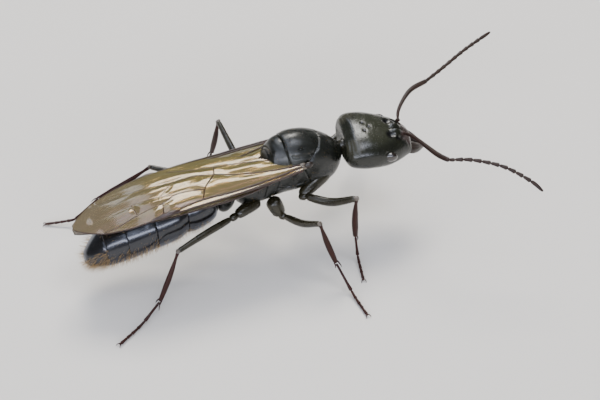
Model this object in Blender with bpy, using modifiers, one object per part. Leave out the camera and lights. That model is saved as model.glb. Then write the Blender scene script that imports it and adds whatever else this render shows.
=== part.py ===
"""Winged queen of a large black hunting ant, life size, standing still on six feet.

Frame: metres, +X is the way the ant faces, +Y its left, +Z up, and the floor is z = 0.
Lengths and places are written in millimetres, and mm() turns them to metres.
"""
import math

import bmesh
import bpy
from mathutils import Matrix, Vector

MM = 0.001            # one millimetre in metres
ORIGIN = (0.44, -0.56)   # floor point (mm) below the middle of the whole ant, which becomes the origin

# Driving dimensions, mm
GAP = 0.04            # play between neighbouring plates and limb segments
HEAD_LENGTH = 3.75    # hind margin of the head to the front of the clypeus
HEAD_WIDTH = 3.6
HEAD_DEPTH = 2.1
THORAX_WIDTH = 2.7
GASTER_WIDTH = 3.0
GASTER_DEPTH = 2.8
LIMB_MIN = 0.25       # least radius of a leg or feeler
WING_THICK = 0.45
FLAT = 0.05           # how deep the small flat under each foot is cut

# Head pose: the middle of its hind margin, then how far it turns left, lifts and leans right
HEAD_PLACE = (2.48, 0.0, 5.5)
HEAD_YAW = -10.0
HEAD_PITCH = -11.0
HEAD_ROLL = 5.0

RING = 20             # points round a body section
EPS = 1e-7            # metres


def mm(*values):
    """A point or length in millimetres, as metres."""
    if len(values) == 1:
        return values[0] * MM
    return Vector(values) * MM


def clear_scene():
    for obj in list(bpy.data.objects):
        bpy.data.objects.remove(obj, do_unlink=True)


def new_collection(name):
    group = bpy.data.collections.new(name)
    bpy.context.scene.collection.children.link(group)
    return group


def make_material(name, colour, roughness, metallic=0.0):
    material = bpy.data.materials.new(name)
    material.use_nodes = True
    shader = material.node_tree.nodes["Principled BSDF"]
    shader.inputs["Base Color"].default_value = (*colour, 1.0)
    shader.inputs["Roughness"].default_value = roughness
    shader.inputs["Metallic"].default_value = metallic
    return material


clear_scene()
PARTS = new_collection("Winged_Ant_Queen")
CUTTERS = new_collection("Cutters")
BLACK = make_material("black_cuticle", (0.012, 0.013, 0.012), 0.32)
BROWN = make_material("red_brown_cuticle", (0.045, 0.014, 0.008), 0.35)
GASTER = make_material("gaster_cuticle", (0.010, 0.010, 0.013), 0.22)
EYE = make_material("eye_facets", (0.02, 0.018, 0.016), 0.12)
WING = make_material("amber_membrane", (0.30, 0.22, 0.09), 0.25)


def add_mesh(name, bm, material, collection=None, matrix=None):
    """Close, orient and shade a bmesh (metres) and put it in the scene as one named object."""
    bmesh.ops.remove_doubles(bm, verts=bm.verts, dist=EPS)
    bmesh.ops.recalc_face_normals(bm, faces=bm.faces)
    mesh = bpy.data.meshes.new(name)
    bm.to_mesh(mesh)
    bm.free()
    mesh.materials.append(material)
    mesh.shade_smooth()
    mesh.set_sharp_from_angle(angle=math.radians(40))
    obj = bpy.data.objects.new(name, mesh)
    (collection or PARTS).objects.link(obj)
    if matrix is not None:
        obj.matrix_world = matrix
    return obj


def between(stations, value, column):
    """Read a column of a station table at a value of its first column, on a smooth curve."""
    rows = sorted(stations)
    if value <= rows[0][0]:
        return rows[0][column]
    for i in range(len(rows) - 1):
        low, high = rows[i], rows[i + 1]
        if value <= high[0]:
            before = rows[max(i - 1, 0)]
            after = rows[min(i + 2, len(rows) - 1)]
            span = high[0] - low[0]
            t = (value - low[0]) / span
            rise_low = (high[column] - before[column]) / (high[0] - before[0]) * span
            rise_high = (after[column] - low[column]) / (after[0] - low[0]) * span
            return ((2 * t**3 - 3 * t**2 + 1) * low[column] + (t**3 - 2 * t**2 + t) * rise_low
                    + (3 * t**2 - 2 * t**3) * high[column] + (t**3 - t**2) * rise_high)
    return rows[-1][column]


def body_loft(stations, squareness=2.0, between_rings=1, around=RING):
    """A closed bmesh through upright oval sections.

    A station is (x, y, z, half width, height above z, depth below z). between_rings
    over 1 reads more rings between the stations, so that the profile stays smooth.
    """
    rows = sorted(stations)
    places = []
    for low, high in zip(rows, rows[1:]):
        for step in range(between_rings):
            places.append(low[0] + (high[0] - low[0]) * step / between_rings)
    places.append(rows[-1][0])
    power = 2.0 / squareness
    bm = bmesh.new()
    loops = []
    for x in places:
        y, z, wide, up, down = (between(rows, x, column) for column in range(1, 6))
        ring = bmesh.ops.create_circle(bm, segments=around, radius=1.0)["verts"]
        for vert in ring:
            c, s = vert.co.x, vert.co.y
            across = math.copysign(abs(c) ** power, c) * wide
            high_or_low = math.copysign(abs(s) ** power, s) * (up if s > 0 else down)
            vert.co = mm(x, y + across, z + high_or_low)
        loops.append(ring)
    for a, b in zip(loops, loops[1:]):
        edges = [e for ring in (a, b) for e in set(e for v in ring for e in v.link_edges)
                 if e.verts[0] in ring and e.verts[1] in ring]
        bmesh.ops.bridge_loops(bm, edges=edges)
    for ring in (loops[0], loops[-1]):
        bm.faces.new(ring)
    bmesh.ops.recalc_face_normals(bm, faces=bm.faces)
    return bm


def keep_left(bm, start, end):
    """Cut a bmesh along a line in the side view and keep what lies left of it.

    The line runs from start to end, both (x, z) in mm. Half of GAP is left free on it.
    """
    along = Vector((end[0] - start[0], 0.0, end[1] - start[1])).normalized()
    outward = Vector((along.z, 0.0, -along.x))
    point = mm(start[0], 0.0, start[1]) - outward * mm(GAP / 2)
    cut_flat(bm, point, outward)


def cut_flat(bm, point, outward):
    """Cut a closed bmesh with a plane, drop what is outside and close the cut."""
    geometry = bm.verts[:] + bm.edges[:] + bm.faces[:]
    cut = bmesh.ops.bisect_plane(bm, geom=geometry, plane_co=point, plane_no=outward, dist=EPS,
                                 clear_outer=True)["geom_cut"]
    edges = [item for item in cut if isinstance(item, bmesh.types.BMEdge)]
    bmesh.ops.holes_fill(bm, edges=edges)


def hide_cutter(obj):
    obj.hide_render = True
    obj.display_type = "WIRE"


def subtract(obj, cutter):
    modifier = obj.modifiers.new("clear_" + cutter.name, "BOOLEAN")
    modifier.operation = "DIFFERENCE"
    modifier.solver = "EXACT"
    modifier.object = cutter


# Whole mesosoma, neck to waist: x, y, z, half width, height above z, depth below z
HALF_THORAX = THORAX_WIDTH / 2
MESOSOMA = [
    (2.38, 0.0, 5.08, 0.36, 0.32, 0.36),
    (2.20, 0.0, 4.90, 0.62, 0.60, 0.74),
    (1.86, 0.0, 4.80, 0.94, 1.08, 1.12),
    (1.40, 0.0, 4.85, 1.18, 1.38, 1.40),
    (0.80, 0.0, 4.95, 1.30, 1.66, 1.55),
    (0.10, 0.0, 5.00, HALF_THORAX, 1.86, 1.60),
    (-0.60, 0.0, 5.00, HALF_THORAX, 1.90, 1.60),
    (-1.20, 0.0, 4.90, 1.24, 1.80, 1.55),
    (-1.75, 0.0, 4.70, 1.10, 1.56, 1.45),
    (-2.05, 0.0, 4.50, 1.05, 0.85, 1.35),
    (-2.80, 0.0, 4.25, 0.98, 0.80, 1.15),
    (-3.30, 0.0, 4.05, 0.82, 0.62, 0.90),
    (-3.60, 0.0, 3.90, 0.50, 0.40, 0.50),
]
# Ends of the sutures in the side view, (x, z)
COLLAR_TOP = (1.30, 6.60)        # between pronotum and scutum, on the back
COLLAR_FOOT = (-0.20, 5.52)      # the same, at the wing base
PLEURAL_FOOT = (0.65, 3.00)      # between pronotum and pleura, underneath
SCUTUM_END_TOP = (-1.02, 7.00)   # behind the scutum, on the back
SCUTUM_END_FOOT = (-0.85, 5.45)  # the same, above the wing base
WING_LINE_END = (-2.15, 5.30)    # hind end of the line of the wing bases
WAIST_TOP = (-1.95, 5.40)        # in front of the propodeum
WAIST_FOOT = (-2.55, 2.80)

# Each plate lies left of its lines in the side view
PLATES = {
    "pronotum": [(COLLAR_TOP, COLLAR_FOOT), (COLLAR_FOOT, PLEURAL_FOOT)],
    "scutum": [(COLLAR_FOOT, COLLAR_TOP), (SCUTUM_END_TOP, SCUTUM_END_FOOT),
               (SCUTUM_END_FOOT, COLLAR_FOOT)],
    "scutellum": [(SCUTUM_END_FOOT, SCUTUM_END_TOP), (WING_LINE_END, SCUTUM_END_FOOT)],
    "pleura": [(COLLAR_FOOT, SCUTUM_END_FOOT), (SCUTUM_END_FOOT, WING_LINE_END),
               (PLEURAL_FOOT, COLLAR_FOOT), (WAIST_TOP, WAIST_FOOT)],
    "propodeum": [(WAIST_FOOT, WAIST_TOP), (SCUTUM_END_FOOT, WING_LINE_END)],
}

PETIOLE = [
    (-3.66, 0.0, 3.85, 0.26, 0.24, 0.30),
    (-3.85, 0.0, 3.80, 0.50, 0.62, 0.50),
    (-4.12, 0.0, 3.75, 0.68, 0.98, 0.62),
    (-4.40, 0.0, 3.72, 0.72, 1.05, 0.66),
    (-4.62, 0.0, 3.72, 0.60, 0.75, 0.58),
    (-4.72, 0.0, 3.74, 0.40, 0.40, 0.44),
]

# Gaster: the waist behind its first segment is the girdle of hunting ants
WIDE = GASTER_WIDTH / 2
DEEP = GASTER_DEPTH / 2
GASTER_FORM = [
    (-4.78, 0.0, 3.76, 0.42 * WIDE, 0.42 * DEEP, 0.42 * DEEP),
    (-5.05, 0.0, 3.80, 0.66 * WIDE, 0.70 * DEEP, 0.66 * DEEP),
    (-5.60, 0.0, 3.84, 0.82 * WIDE, 0.88 * DEEP, 0.86 * DEEP),
    (-6.25, 0.0, 3.78, 0.88 * WIDE, 0.92 * DEEP, 0.92 * DEEP),
    (-6.62, 0.0, 3.73, 0.85 * WIDE, 0.88 * DEEP, 0.88 * DEEP),
    (-7.10, 0.0, 3.66, 0.95 * WIDE, 0.97 * DEEP, 0.98 * DEEP),
    (-7.90, 0.0, 3.56, WIDE, DEEP, DEEP),
    (-8.90, 0.0, 3.42, WIDE, DEEP, DEEP),
    (-9.70, 0.0, 3.20, 0.95 * WIDE, 0.97 * DEEP, 0.96 * DEEP),
    (-10.40, 0.0, 2.94, 0.84 * WIDE, 0.88 * DEEP, 0.88 * DEEP),
    (-11.10, 0.0, 2.66, 0.66 * WIDE, 0.70 * DEEP, 0.72 * DEEP),
    (-11.60, 0.0, 2.42, 0.46 * WIDE, 0.50 * DEEP, 0.52 * DEEP),
    (-11.95, 0.0, 2.28, 0.26 * WIDE, 0.28 * DEEP, 0.30 * DEEP),
    (-12.08, 0.0, 2.24, 0.12 * WIDE, 0.12 * DEEP, 0.13 * DEEP),
]
GASTER_JOINTS = [-6.62, -8.40, -9.95, -11.05]   # x of the seams between its segments
TALL = 9.0                                      # mm, past the top of any part


def make_plates():
    plates = {}
    for name, lines in PLATES.items():
        bm = body_loft(MESOSOMA, between_rings=2)
        for start, end in lines:
            keep_left(bm, start, end)
        plates[name] = add_mesh(name, bm, BLACK)
    return plates


def make_waist():
    return add_mesh("petiole", body_loft(PETIOLE), BLACK)


def make_gaster():
    names = ["gaster_1", "gaster_2", "gaster_3", "gaster_4", "gaster_5"]
    fronts = [None] + GASTER_JOINTS
    backs = GASTER_JOINTS + [None]
    for name, front, back in zip(names, fronts, backs):
        bm = body_loft(GASTER_FORM, between_rings=2)
        if front is not None:
            keep_left(bm, (front, 0.0), (front, TALL))
        if back is not None:
            keep_left(bm, (back, TALL), (back, 0.0))
        add_mesh(name, bm, GASTER)


# ---- head, modelled along its own +X from the middle of its hind margin

HALF_HEAD = HEAD_WIDTH / 2
HEAD_RISE = HEAD_DEPTH / 2
HEAD_FORM = [
    (0.00, 0.0, 0.0, 0.70 * HALF_HEAD, 0.42 * HEAD_RISE, 0.45 * HEAD_RISE),
    (0.10, 0.0, 0.0, 0.86 * HALF_HEAD, 0.62 * HEAD_RISE, 0.66 * HEAD_RISE),
    (0.40, 0.0, 0.0, 0.98 * HALF_HEAD, 0.86 * HEAD_RISE, 0.88 * HEAD_RISE),
    (0.90, 0.0, 0.0, HALF_HEAD, 0.98 * HEAD_RISE, HEAD_RISE),
    (1.60, 0.0, 0.0, 0.97 * HALF_HEAD, HEAD_RISE, HEAD_RISE),
    (2.40, 0.0, 0.0, 0.87 * HALF_HEAD, 0.93 * HEAD_RISE, 0.92 * HEAD_RISE),
    (3.05, 0.0, 0.0, 0.72 * HALF_HEAD, 0.84 * HEAD_RISE, 0.74 * HEAD_RISE),
    (HEAD_LENGTH - 0.15, 0.0, 0.02, 0.57 * HALF_HEAD, 0.56 * HEAD_RISE, 0.50 * HEAD_RISE),
    (HEAD_LENGTH, 0.0, 0.0, 0.52 * HALF_HEAD, 0.40 * HEAD_RISE, 0.38 * HEAD_RISE),
]
HEAD_SQUARE = 2.3                       # a little boxier than an oval in section
EYE_PLACE = (2.38, 1.50, 0.22)          # left eye
EYE_SIZE = (0.36, 0.20, 0.28)           # half axes
OCELLUS_RADIUS = 0.11
OCELLI = {"ocellus_front": (1.30, 0.0), "ocellus_left": (1.00, 0.30), "ocellus_right": (1.00, -0.30)}
SOCKET = (3.05, 0.43, 0.98)             # left feeler's root
MANDIBLE = [                            # left mandible, x then y, z, half width, up, down
    (HEAD_LENGTH + GAP, 0.50, -0.06, 0.44, 0.28, 0.26),
    (HEAD_LENGTH + 0.25, 0.46, -0.10, 0.42, 0.25, 0.25),
    (HEAD_LENGTH + 0.55, 0.34, -0.18, 0.31, 0.20, 0.20),
    (HEAD_LENGTH + 0.80, 0.20, -0.26, 0.17, 0.14, 0.14),
    (HEAD_LENGTH + 1.00, 0.11, -0.31, 0.07, 0.08, 0.08),
]


def head_matrix():
    place = Matrix.Translation(mm(*HEAD_PLACE))
    yaw = Matrix.Rotation(math.radians(HEAD_YAW), 4, "Z")
    pitch = Matrix.Rotation(math.radians(-HEAD_PITCH), 4, "Y")
    roll = Matrix.Rotation(math.radians(HEAD_ROLL), 4, "X")
    return place @ yaw @ pitch @ roll


def bead(name, place, size, material, matrix, collection=None, segments=12, rings=8):
    """A small closed ellipsoid, sizes as half axes in mm."""
    bm = bmesh.new()
    bmesh.ops.create_uvsphere(bm, u_segments=segments, v_segments=rings, radius=1.0)
    bmesh.ops.scale(bm, vec=mm(*size), verts=bm.verts)
    bmesh.ops.translate(bm, vec=mm(*place), verts=bm.verts)
    return add_mesh(name, bm, material, collection, matrix)


def seat(host, name, place, size, material, matrix, **detail):
    """A bead sunk in its host, in a pit that clears it by GAP."""
    room = tuple(value + GAP for value in size)
    pit = bead(name + "_pit", place, room, material, matrix, CUTTERS, **detail)
    hide_cutter(pit)
    subtract(host, pit)
    return bead(name, place, size, material, matrix, **detail)


def make_head():
    matrix = head_matrix()
    head = add_mesh("head", body_loft(HEAD_FORM, HEAD_SQUARE), BLACK, matrix=matrix)
    for side, sign in (("left", 1), ("right", -1)):
        eye_place = (EYE_PLACE[0], sign * EYE_PLACE[1], EYE_PLACE[2])
        seat(head, "eye_" + side, eye_place, EYE_SIZE, EYE, matrix)
        rows = [(x, sign * y, z, wide, up, down) for x, y, z, wide, up, down in MANDIBLE]
        add_mesh("mandible_" + side, body_loft(rows, around=12), BROWN, matrix=matrix)
    for name, (x, y) in OCELLI.items():
        z = between(HEAD_FORM, x, 4) * 0.98
        seat(head, name, (x, y, z), (OCELLUS_RADIUS,) * 3, EYE, matrix, segments=8, rings=6)
    return head


# ---- limbs: tubes with a round end ball at each joint

BALL_STEPS = (30, 60, 90)          # degrees from the pole, the rings of a round end


def smooth_points(points, steps):
    """Points along a smooth curve (Catmull-Rom) through the given ones."""
    if len(points) == 2:
        return [points[0].lerp(points[1], i / steps) for i in range(steps + 1)]
    ends = [2 * points[0] - points[1]] + points + [2 * points[-1] - points[-2]]
    line = []
    for a, b, c, d in zip(ends, ends[1:], ends[2:], ends[3:]):
        for i in range(steps):
            t = i / steps
            line.append(0.5 * (2 * b + (c - a) * t + (2 * a - 5 * b + 4 * c - d) * t * t
                               + (3 * b - a - 3 * c + d) * t**3))
    line.append(points[-1])
    return line


def limb(name, points, radii, material, steps=2, collection=None, extra=0.0):
    """A tube (mm) along points whose radius runs smoothly through radii, with rounded ends."""
    line = smooth_points([Vector(p) for p in points], steps)
    count = len(line) - 1
    stations = [(i / (len(radii) - 1), value) for i, value in enumerate(radii)]
    rows = []
    for i, point in enumerate(line):
        rows.append((point, between(stations, i / count, 1)))
    first, last = rows[0], rows[-1]
    inner = [row for row in rows
             if (row[0] - first[0]).length > 1.2 * first[1] and (row[0] - last[0]).length > 1.2 * last[1]]
    rows = ball_end(first, inner[0])[::-1] + inner + ball_end(last, inner[-1])
    curve = bpy.data.curves.new(name, "CURVE")
    curve.dimensions = "3D"
    curve.bevel_depth = mm(1.0)
    curve.bevel_resolution = 2
    curve.use_fill_caps = True
    spline = curve.splines.new("POLY")
    spline.points.add(len(rows) - 1)
    for slot, (point, radius) in zip(spline.points, rows):
        slot.co = (*mm(*point), 1.0)
        slot.radius = radius + extra
    curve.materials.append(material)
    obj = bpy.data.objects.new(name, curve)
    (collection or PARTS).objects.link(obj)
    return obj


def ball_end(end, inner):
    """Rows that close a tube's end as a half ball whose pole lies at the end point."""
    point, radius = end
    inward = (inner[0] - point).normalized()
    rows = []
    for angle in BALL_STEPS[::-1]:
        turn = math.radians(angle)
        rows.append((point + inward * radius * (1 - math.cos(turn)), radius * math.sin(turn)))
    return rows


def as_mesh(obj):
    """Turn a tube into a welded mesh object, for cutting."""
    bpy.context.view_layer.update()
    graph = bpy.context.evaluated_depsgraph_get()
    mesh = bpy.data.meshes.new_from_object(obj.evaluated_get(graph))
    bm = bmesh.new()
    bm.from_mesh(mesh)
    bmesh.ops.remove_doubles(bm, verts=bm.verts, dist=EPS)
    bmesh.ops.recalc_face_normals(bm, faces=bm.faces)
    bm.to_mesh(mesh)
    bm.free()
    mesh.shade_smooth()
    name, group = obj.name, obj.users_collection[0]
    solid = bpy.data.objects.new(name + "_mesh", mesh)
    solid.matrix_world = obj.matrix_world
    group.objects.link(solid)
    bpy.data.objects.remove(obj, do_unlink=True)
    solid.name = name
    return solid


# Height of a foot's middle line where it lies on the floor
LAID = LIMB_MIN - FLAT

# Joints of each leg in mm: hip, trochanter, knee, ankle, end of the long tarsal segment, claw
LEGS = {
    "fore_right": [(1.45, -0.70, 4.30), (-0.48, -1.42, 3.70), (1.76, -3.60, 4.57),
                   (1.86, -3.41, 1.66), (1.94, -3.60, 0.50), (1.61, -5.05, LAID)],
    "fore_left": [(1.45, 0.70, 4.30), (1.30, 1.75, 2.90), (4.10, 2.70, 3.80),
                  (5.20, 3.90, 1.85), (5.60, 4.50, 0.50), (6.10, 6.00, LAID)],
    "mid_right": [(-1.90, -0.80, 3.60), (-1.50, -1.20, 2.50), (-0.49, -4.03, 3.96),
                  (0.20, -4.63, 1.43), (0.58, -5.76, 0.35), (0.69, -7.50, LAID)],
    "mid_left": [(-1.75, 0.80, 3.65), (-2.30, 1.90, 3.20), (-2.68, 4.83, 4.80),
                 (-2.93, 5.44, 2.17), (-3.35, 5.80, 0.60), (-4.70, 6.50, LAID)],
    "hind_right": [(-2.50, -0.65, 3.50), (-4.05, -1.25, 3.45), (-7.70, -2.45, 3.30),
                   (-9.05, -3.05, 0.75), (-10.10, -3.62, 0.35), (-11.70, -4.50, LAID)],
    "hind_left": [(-2.50, 0.65, 3.50), (-4.00, 1.35, 3.40), (-7.04, 3.75, 3.85),
                  (-9.85, 4.40, 2.05), (-11.10, 5.00, 0.60), (-12.60, 5.60, LAID)],
}
COXA_RADII = {"fore": (0.36, 0.40, 0.34, 0.27), "mid": (0.38, 0.43, 0.36, 0.27),
              "hind": (0.34, 0.36, 0.33, 0.27)}
FEMUR_RADII = (0.25, 0.27, 0.28, 0.26, 0.25)
TIBIA_RADII = (0.25, 0.25, 0.26, 0.25)
TARSUS_RADII = (0.25, 0.25, 0.25)
JOINT_BALL = 0.26
# How far a femur's middle rises above its chord, or sags below it
FEMUR_BOW = {"fore_right": -0.32, "fore_left": 0.05, "mid_right": -0.23, "mid_left": 0.0,
             "hind_right": 0.05, "hind_left": 0.10}
CLAW_REACH = 0.55                      # flat run before the claw


def towards(start, end, distance):
    a, b = Vector(start), Vector(end)
    return a + (b - a).normalized() * distance


def past(start, end, distance):
    """The end point carried on by a distance."""
    a, b = Vector(start), Vector(end)
    return b + (b - a).normalized() * distance


def make_leg(leg, hosts):
    hip, trochanter, knee, ankle, sole, claw = LEGS[leg]
    gap = JOINT_BALL + GAP

    coxa_end = past(hip, trochanter, JOINT_BALL)
    coxa_radii = COXA_RADII[leg.split("_")[0]]
    coxa = limb(leg.replace("_", "_coxa_"), [hip, coxa_end], coxa_radii, BLACK)
    room = limb(coxa.name + "_room", [hip, coxa_end], coxa_radii, BLACK, collection=CUTTERS, extra=GAP)
    room = as_mesh(room)
    hide_cutter(room)
    for host in hosts:
        subtract(host, room)

    femur_start = towards(trochanter, knee, gap)
    femur_end = past(trochanter, knee, JOINT_BALL)
    middle = (femur_start + femur_end) / 2 + Vector((0, 0, FEMUR_BOW[leg]))
    limb(leg.replace("_", "_femur_"), [femur_start, middle, femur_end], FEMUR_RADII, BLACK)

    tibia_start = towards(knee, ankle, gap)
    tibia_end = past(knee, ankle, LIMB_MIN)
    limb(leg.replace("_", "_tibia_"), [tibia_start, tibia_end], TIBIA_RADII, BROWN, steps=4)

    tarsus_start = towards(ankle, sole, LIMB_MIN + GAP)
    landing = towards(claw, (sole[0], sole[1], claw[2]), CLAW_REACH)
    tarsus = limb(leg.replace("_", "_tarsus_"), [tarsus_start, Vector(sole), landing, Vector(claw)],
                  TARSUS_RADII, BROWN)
    stand_flat(as_mesh(tarsus))


def stand_flat(foot):
    """Cut a foot level with the floor."""
    bm = bmesh.new()
    bm.from_mesh(foot.data)
    cut_flat(bm, Vector((0, 0, 0)), Vector((0, 0, -1)))
    bmesh.ops.recalc_face_normals(bm, faces=bm.faces)
    bm.to_mesh(foot.data)
    bm.free()
    foot.data.set_sharp_from_angle(angle=math.radians(40))


# ---- feelers: bends of the scape and its elbow, then the points that the whip runs through, mm

SCAPES = {
    "right": [(5.78, -1.90, 6.13), (6.12, -3.93, 6.41), (6.36, -4.80, 6.61)],
    "left": [(5.98, 0.33, 6.20), (6.66, 0.97, 6.43), (7.29, 1.34, 6.55), (8.25, 1.65, 6.53)],
}
WHIPS = {
    "right": [(7.52, -5.29, 6.60), (8.89, -6.13, 6.34), (9.97, -7.12, 5.80), (10.40, -7.70, 5.42)],
    "left": [(9.63, 2.45, 6.42), (11.52, 3.38, 6.52), (13.49, 4.17, 6.61)],
}
FEELER_RADII = (0.25, 0.25, 0.26, 0.26, 0.25)


def make_feelers(head):
    matrix = head_matrix()
    for side, sign in (("left", 1), ("right", -1)):
        root = matrix @ mm(SOCKET[0], sign * SOCKET[1], SOCKET[2]) / MM
        *bends, elbow = SCAPES[side]
        line = [root] + bends + [past(bends[-1], elbow, LIMB_MIN)]
        limb("scape_" + side, line, FEELER_RADII, BLACK)
        room = as_mesh(limb("scape_room_" + side, line, FEELER_RADII, BLACK, collection=CUTTERS,
                            extra=GAP))
        hide_cutter(room)
        subtract(head, room)
        start = towards(elbow, WHIPS[side][0], LIMB_MIN + GAP)
        limb("funiculus_" + side, [start] + WHIPS[side], FEELER_RADII, BLACK)


# ---- wings, folded flat over the back

# Middle height of the folded wings along the back, x then z
WING_LEVEL = [(-0.40, 5.80), (-1.50, 5.76), (-2.50, 5.72), (-4.00, 5.66), (-6.00, 5.62), (-8.00, 5.50),
              (-9.00, 5.34), (-10.00, 5.10), (-11.00, 4.84), (-12.00, 4.54), (-12.50, 4.36)]
WING_ARCH = 0.10                       # mm of fall for each square mm away from the middle line
LEADING = [(-0.40, 1.78), (-3.00, 1.80), (-6.00, 1.86), (-9.00, 1.78), (-10.50, 1.52), (-11.60, 1.02),
           (-12.20, 0.50), (-12.45, 0.16)]
TRAILING_TOP = [(-0.40, 1.40), (-1.10, 1.36), (-1.70, 1.18), (-2.20, 0.66), (-2.80, -0.20),
                (-4.50, -1.05), (-7.00, -1.30), (-9.50, -1.30), (-11.00, -1.00), (-12.00, -0.50),
                (-12.45, -0.14)]
TRAILING_UNDER = [(-0.40, 1.40), (-1.10, 1.36), (-1.70, 1.20), (-2.20, 0.78), (-2.80, 0.10),
                  (-4.00, -0.35), (-11.00, -0.40), (-12.00, -0.30), (-12.45, -0.10)]
HIND_LEADING = [(-1.90, 1.62), (-4.00, 1.84), (-7.00, 1.86), (-8.60, 1.70), (-9.10, 1.52)]
HIND_TRAILING_UPPER = [(-1.90, 1.30), (-3.00, 0.80), (-4.50, 0.58), (-7.50, 0.60), (-8.60, 0.90),
                       (-9.10, 1.28)]
HIND_TRAILING_LOWER = [(-1.90, 1.36), (-4.00, 1.32), (-7.00, 1.36), (-8.60, 1.38), (-9.10, 1.40)]


def wing_height(x, y):
    return between(WING_LEVEL, x, 1) - WING_ARCH * y * y


def make_wing(name, side, leading, trailing, drop, grows, length=16, chord=4):
    """A curved sheet between two edges given as (x, y outwards), drop mm below the fold's middle
    face, which Solidify then thickens upwards (grows 1) or downwards (grows -1)."""
    bm = bmesh.new()
    bmesh.ops.create_grid(bm, x_segments=length, y_segments=chord, size=0.5)
    root, tip = leading[0][0], leading[-1][0]
    for vert in bm.verts:
        u, v = vert.co.x + 0.5, vert.co.y + 0.5
        x = root + (tip - root) * (1 - math.cos(u * math.pi)) / 2
        outer, inner = between(leading, x, 1), between(trailing, x, 1)
        y = side * (outer + (inner - outer) * v)
        vert.co = mm(x, y, wing_height(x, y) - drop)
    wing = add_mesh(name, bm, WING)
    if wing.data.polygons[0].normal.z < 0:
        wing.data.flip_normals()
    thick = wing.modifiers.new("thickness", "SOLIDIFY")
    thick.thickness = mm(WING_THICK)
    thick.offset = grows
    return wing


def make_wings():
    half = GAP / 2
    make_wing("forewing_right", -1, LEADING, TRAILING_TOP, -half, 1)
    make_wing("forewing_left", 1, LEADING, TRAILING_UNDER, half, -1)
    make_wing("hindwing_right", -1, HIND_LEADING, HIND_TRAILING_UPPER, half, -1, 12, 3)
    make_wing("hindwing_left", 1, HIND_LEADING, HIND_TRAILING_LOWER, half + WING_THICK + GAP, -1,
              12, 3)


# ---- build

def move_to_origin():
    """Put the floor point below the middle of the ant at the origin."""
    shift = mm(-ORIGIN[0], -ORIGIN[1], 0.0)
    for group in (PARTS, CUTTERS):
        for obj in group.objects:
            obj.matrix_world = Matrix.Translation(shift) @ obj.matrix_world


plates = make_plates()
make_waist()
make_gaster()
head = make_head()
make_feelers(head)
make_leg("fore_right", [plates["pronotum"], plates["pleura"]])
make_leg("fore_left", [plates["pronotum"], plates["pleura"]])
make_leg("mid_right", [plates["pleura"]])
make_leg("mid_left", [plates["pleura"]])
make_leg("hind_right", [plates["pleura"], plates["propodeum"]])
make_leg("hind_left", [plates["pleura"], plates["propodeum"]])
make_wings()
bpy.context.view_layer.update()
move_to_origin()
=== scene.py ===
import math
import random

import bmesh
import bpy
from mathutils import Matrix, Vector, noise


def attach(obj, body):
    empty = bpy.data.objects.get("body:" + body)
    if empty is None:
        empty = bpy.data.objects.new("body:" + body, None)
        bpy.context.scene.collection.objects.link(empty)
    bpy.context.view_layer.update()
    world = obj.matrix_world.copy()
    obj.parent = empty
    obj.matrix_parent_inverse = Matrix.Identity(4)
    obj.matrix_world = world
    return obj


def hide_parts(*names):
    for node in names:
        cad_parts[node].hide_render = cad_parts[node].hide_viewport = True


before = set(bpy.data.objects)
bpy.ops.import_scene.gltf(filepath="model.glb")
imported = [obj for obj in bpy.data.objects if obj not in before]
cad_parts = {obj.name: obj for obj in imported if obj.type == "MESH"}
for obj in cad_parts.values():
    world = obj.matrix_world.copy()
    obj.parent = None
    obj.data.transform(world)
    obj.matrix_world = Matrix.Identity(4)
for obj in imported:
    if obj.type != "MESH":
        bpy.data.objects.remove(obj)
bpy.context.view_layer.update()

print("frame loaded:", len(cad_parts), "solids")

# The tables are in millimetres, with x ahead, y left and z up from the floor.
# toRow turns them into the frame's metres, whose origin is below the middle of the ant.
antMiddle = Vector((0.44, -0.56, 0.0))
toRow = Matrix.Scale(0.001, 4) @ Matrix.Translation(-antMiddle)
bodyName = "root"
sides = {"left": 1, "right": -1}
dice = random.Random(19)


def linearColour(code):
    parts = [int(code[i:i + 2], 16) / 255 for i in (1, 3, 5)]
    return tuple(c / 12.92 if c <= 0.04045 else ((c + 0.055) / 1.055) ** 2.4 for c in parts) + (1.0,)


def addNode(tree, kind, settings=None, links=None):
    node = tree.nodes.new("ShaderNode" + kind)
    for key, value in (settings or {}).items():
        if isinstance(key, str) and hasattr(node, key):
            setattr(node, key, value)
        else:
            node.inputs[key].default_value = value
    for key, source in (links or {}).items():
        tree.links.new(source, node.inputs[key])
    return node


def setSockets(shader, values):
    for key, value in values.items():
        shader.inputs[key].default_value = value


def dress(tree, shader, colour, bumps, sockets):
    # Colour, then bumps laid one over another as height, strength and depth in metres (minus
    # presses in), then the constants
    tree.links.new(colour, shader.inputs["Base Color"])
    links = {}
    for height, strength, depth in bumps:
        bump = addNode(tree, "Bump", {"Strength": strength, "Distance": abs(depth),
                                                "invert": depth < 0}, {"Height": height, **links})
        links = {"Normal": bump.outputs["Normal"]}
    tree.links.new(links["Normal"], shader.inputs["Normal"])
    setSockets(shader, sockets)


def newMaterial(name):
    material = bpy.data.materials.new(name)
    material.use_nodes = True
    tree = material.node_tree
    return material, tree, tree.nodes["Principled BSDF"]


def perMetre(millimetres):
    return 1000.0 / millimetres    # texture scale for a pattern of this size


def mottle(tree, colours, size, detail):
    # Two colours that waver over the skin, in clouds of this size
    where = addNode(tree, "TexCoord").outputs["Object"]
    cloud = addNode(tree, "TexNoise", {"Scale": perMetre(size), "Detail": detail}, {"Vector": where})
    tone = addNode(tree, "Mix", {"data_type": "RGBA", 6: linearColour(colours[0]),
                                 7: linearColour(colours[1])}, {"Factor": cloud.outputs["Fac"]})
    return where, cloud.outputs["Fac"], tone.outputs[2]


chitinIor = 1.56
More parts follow.
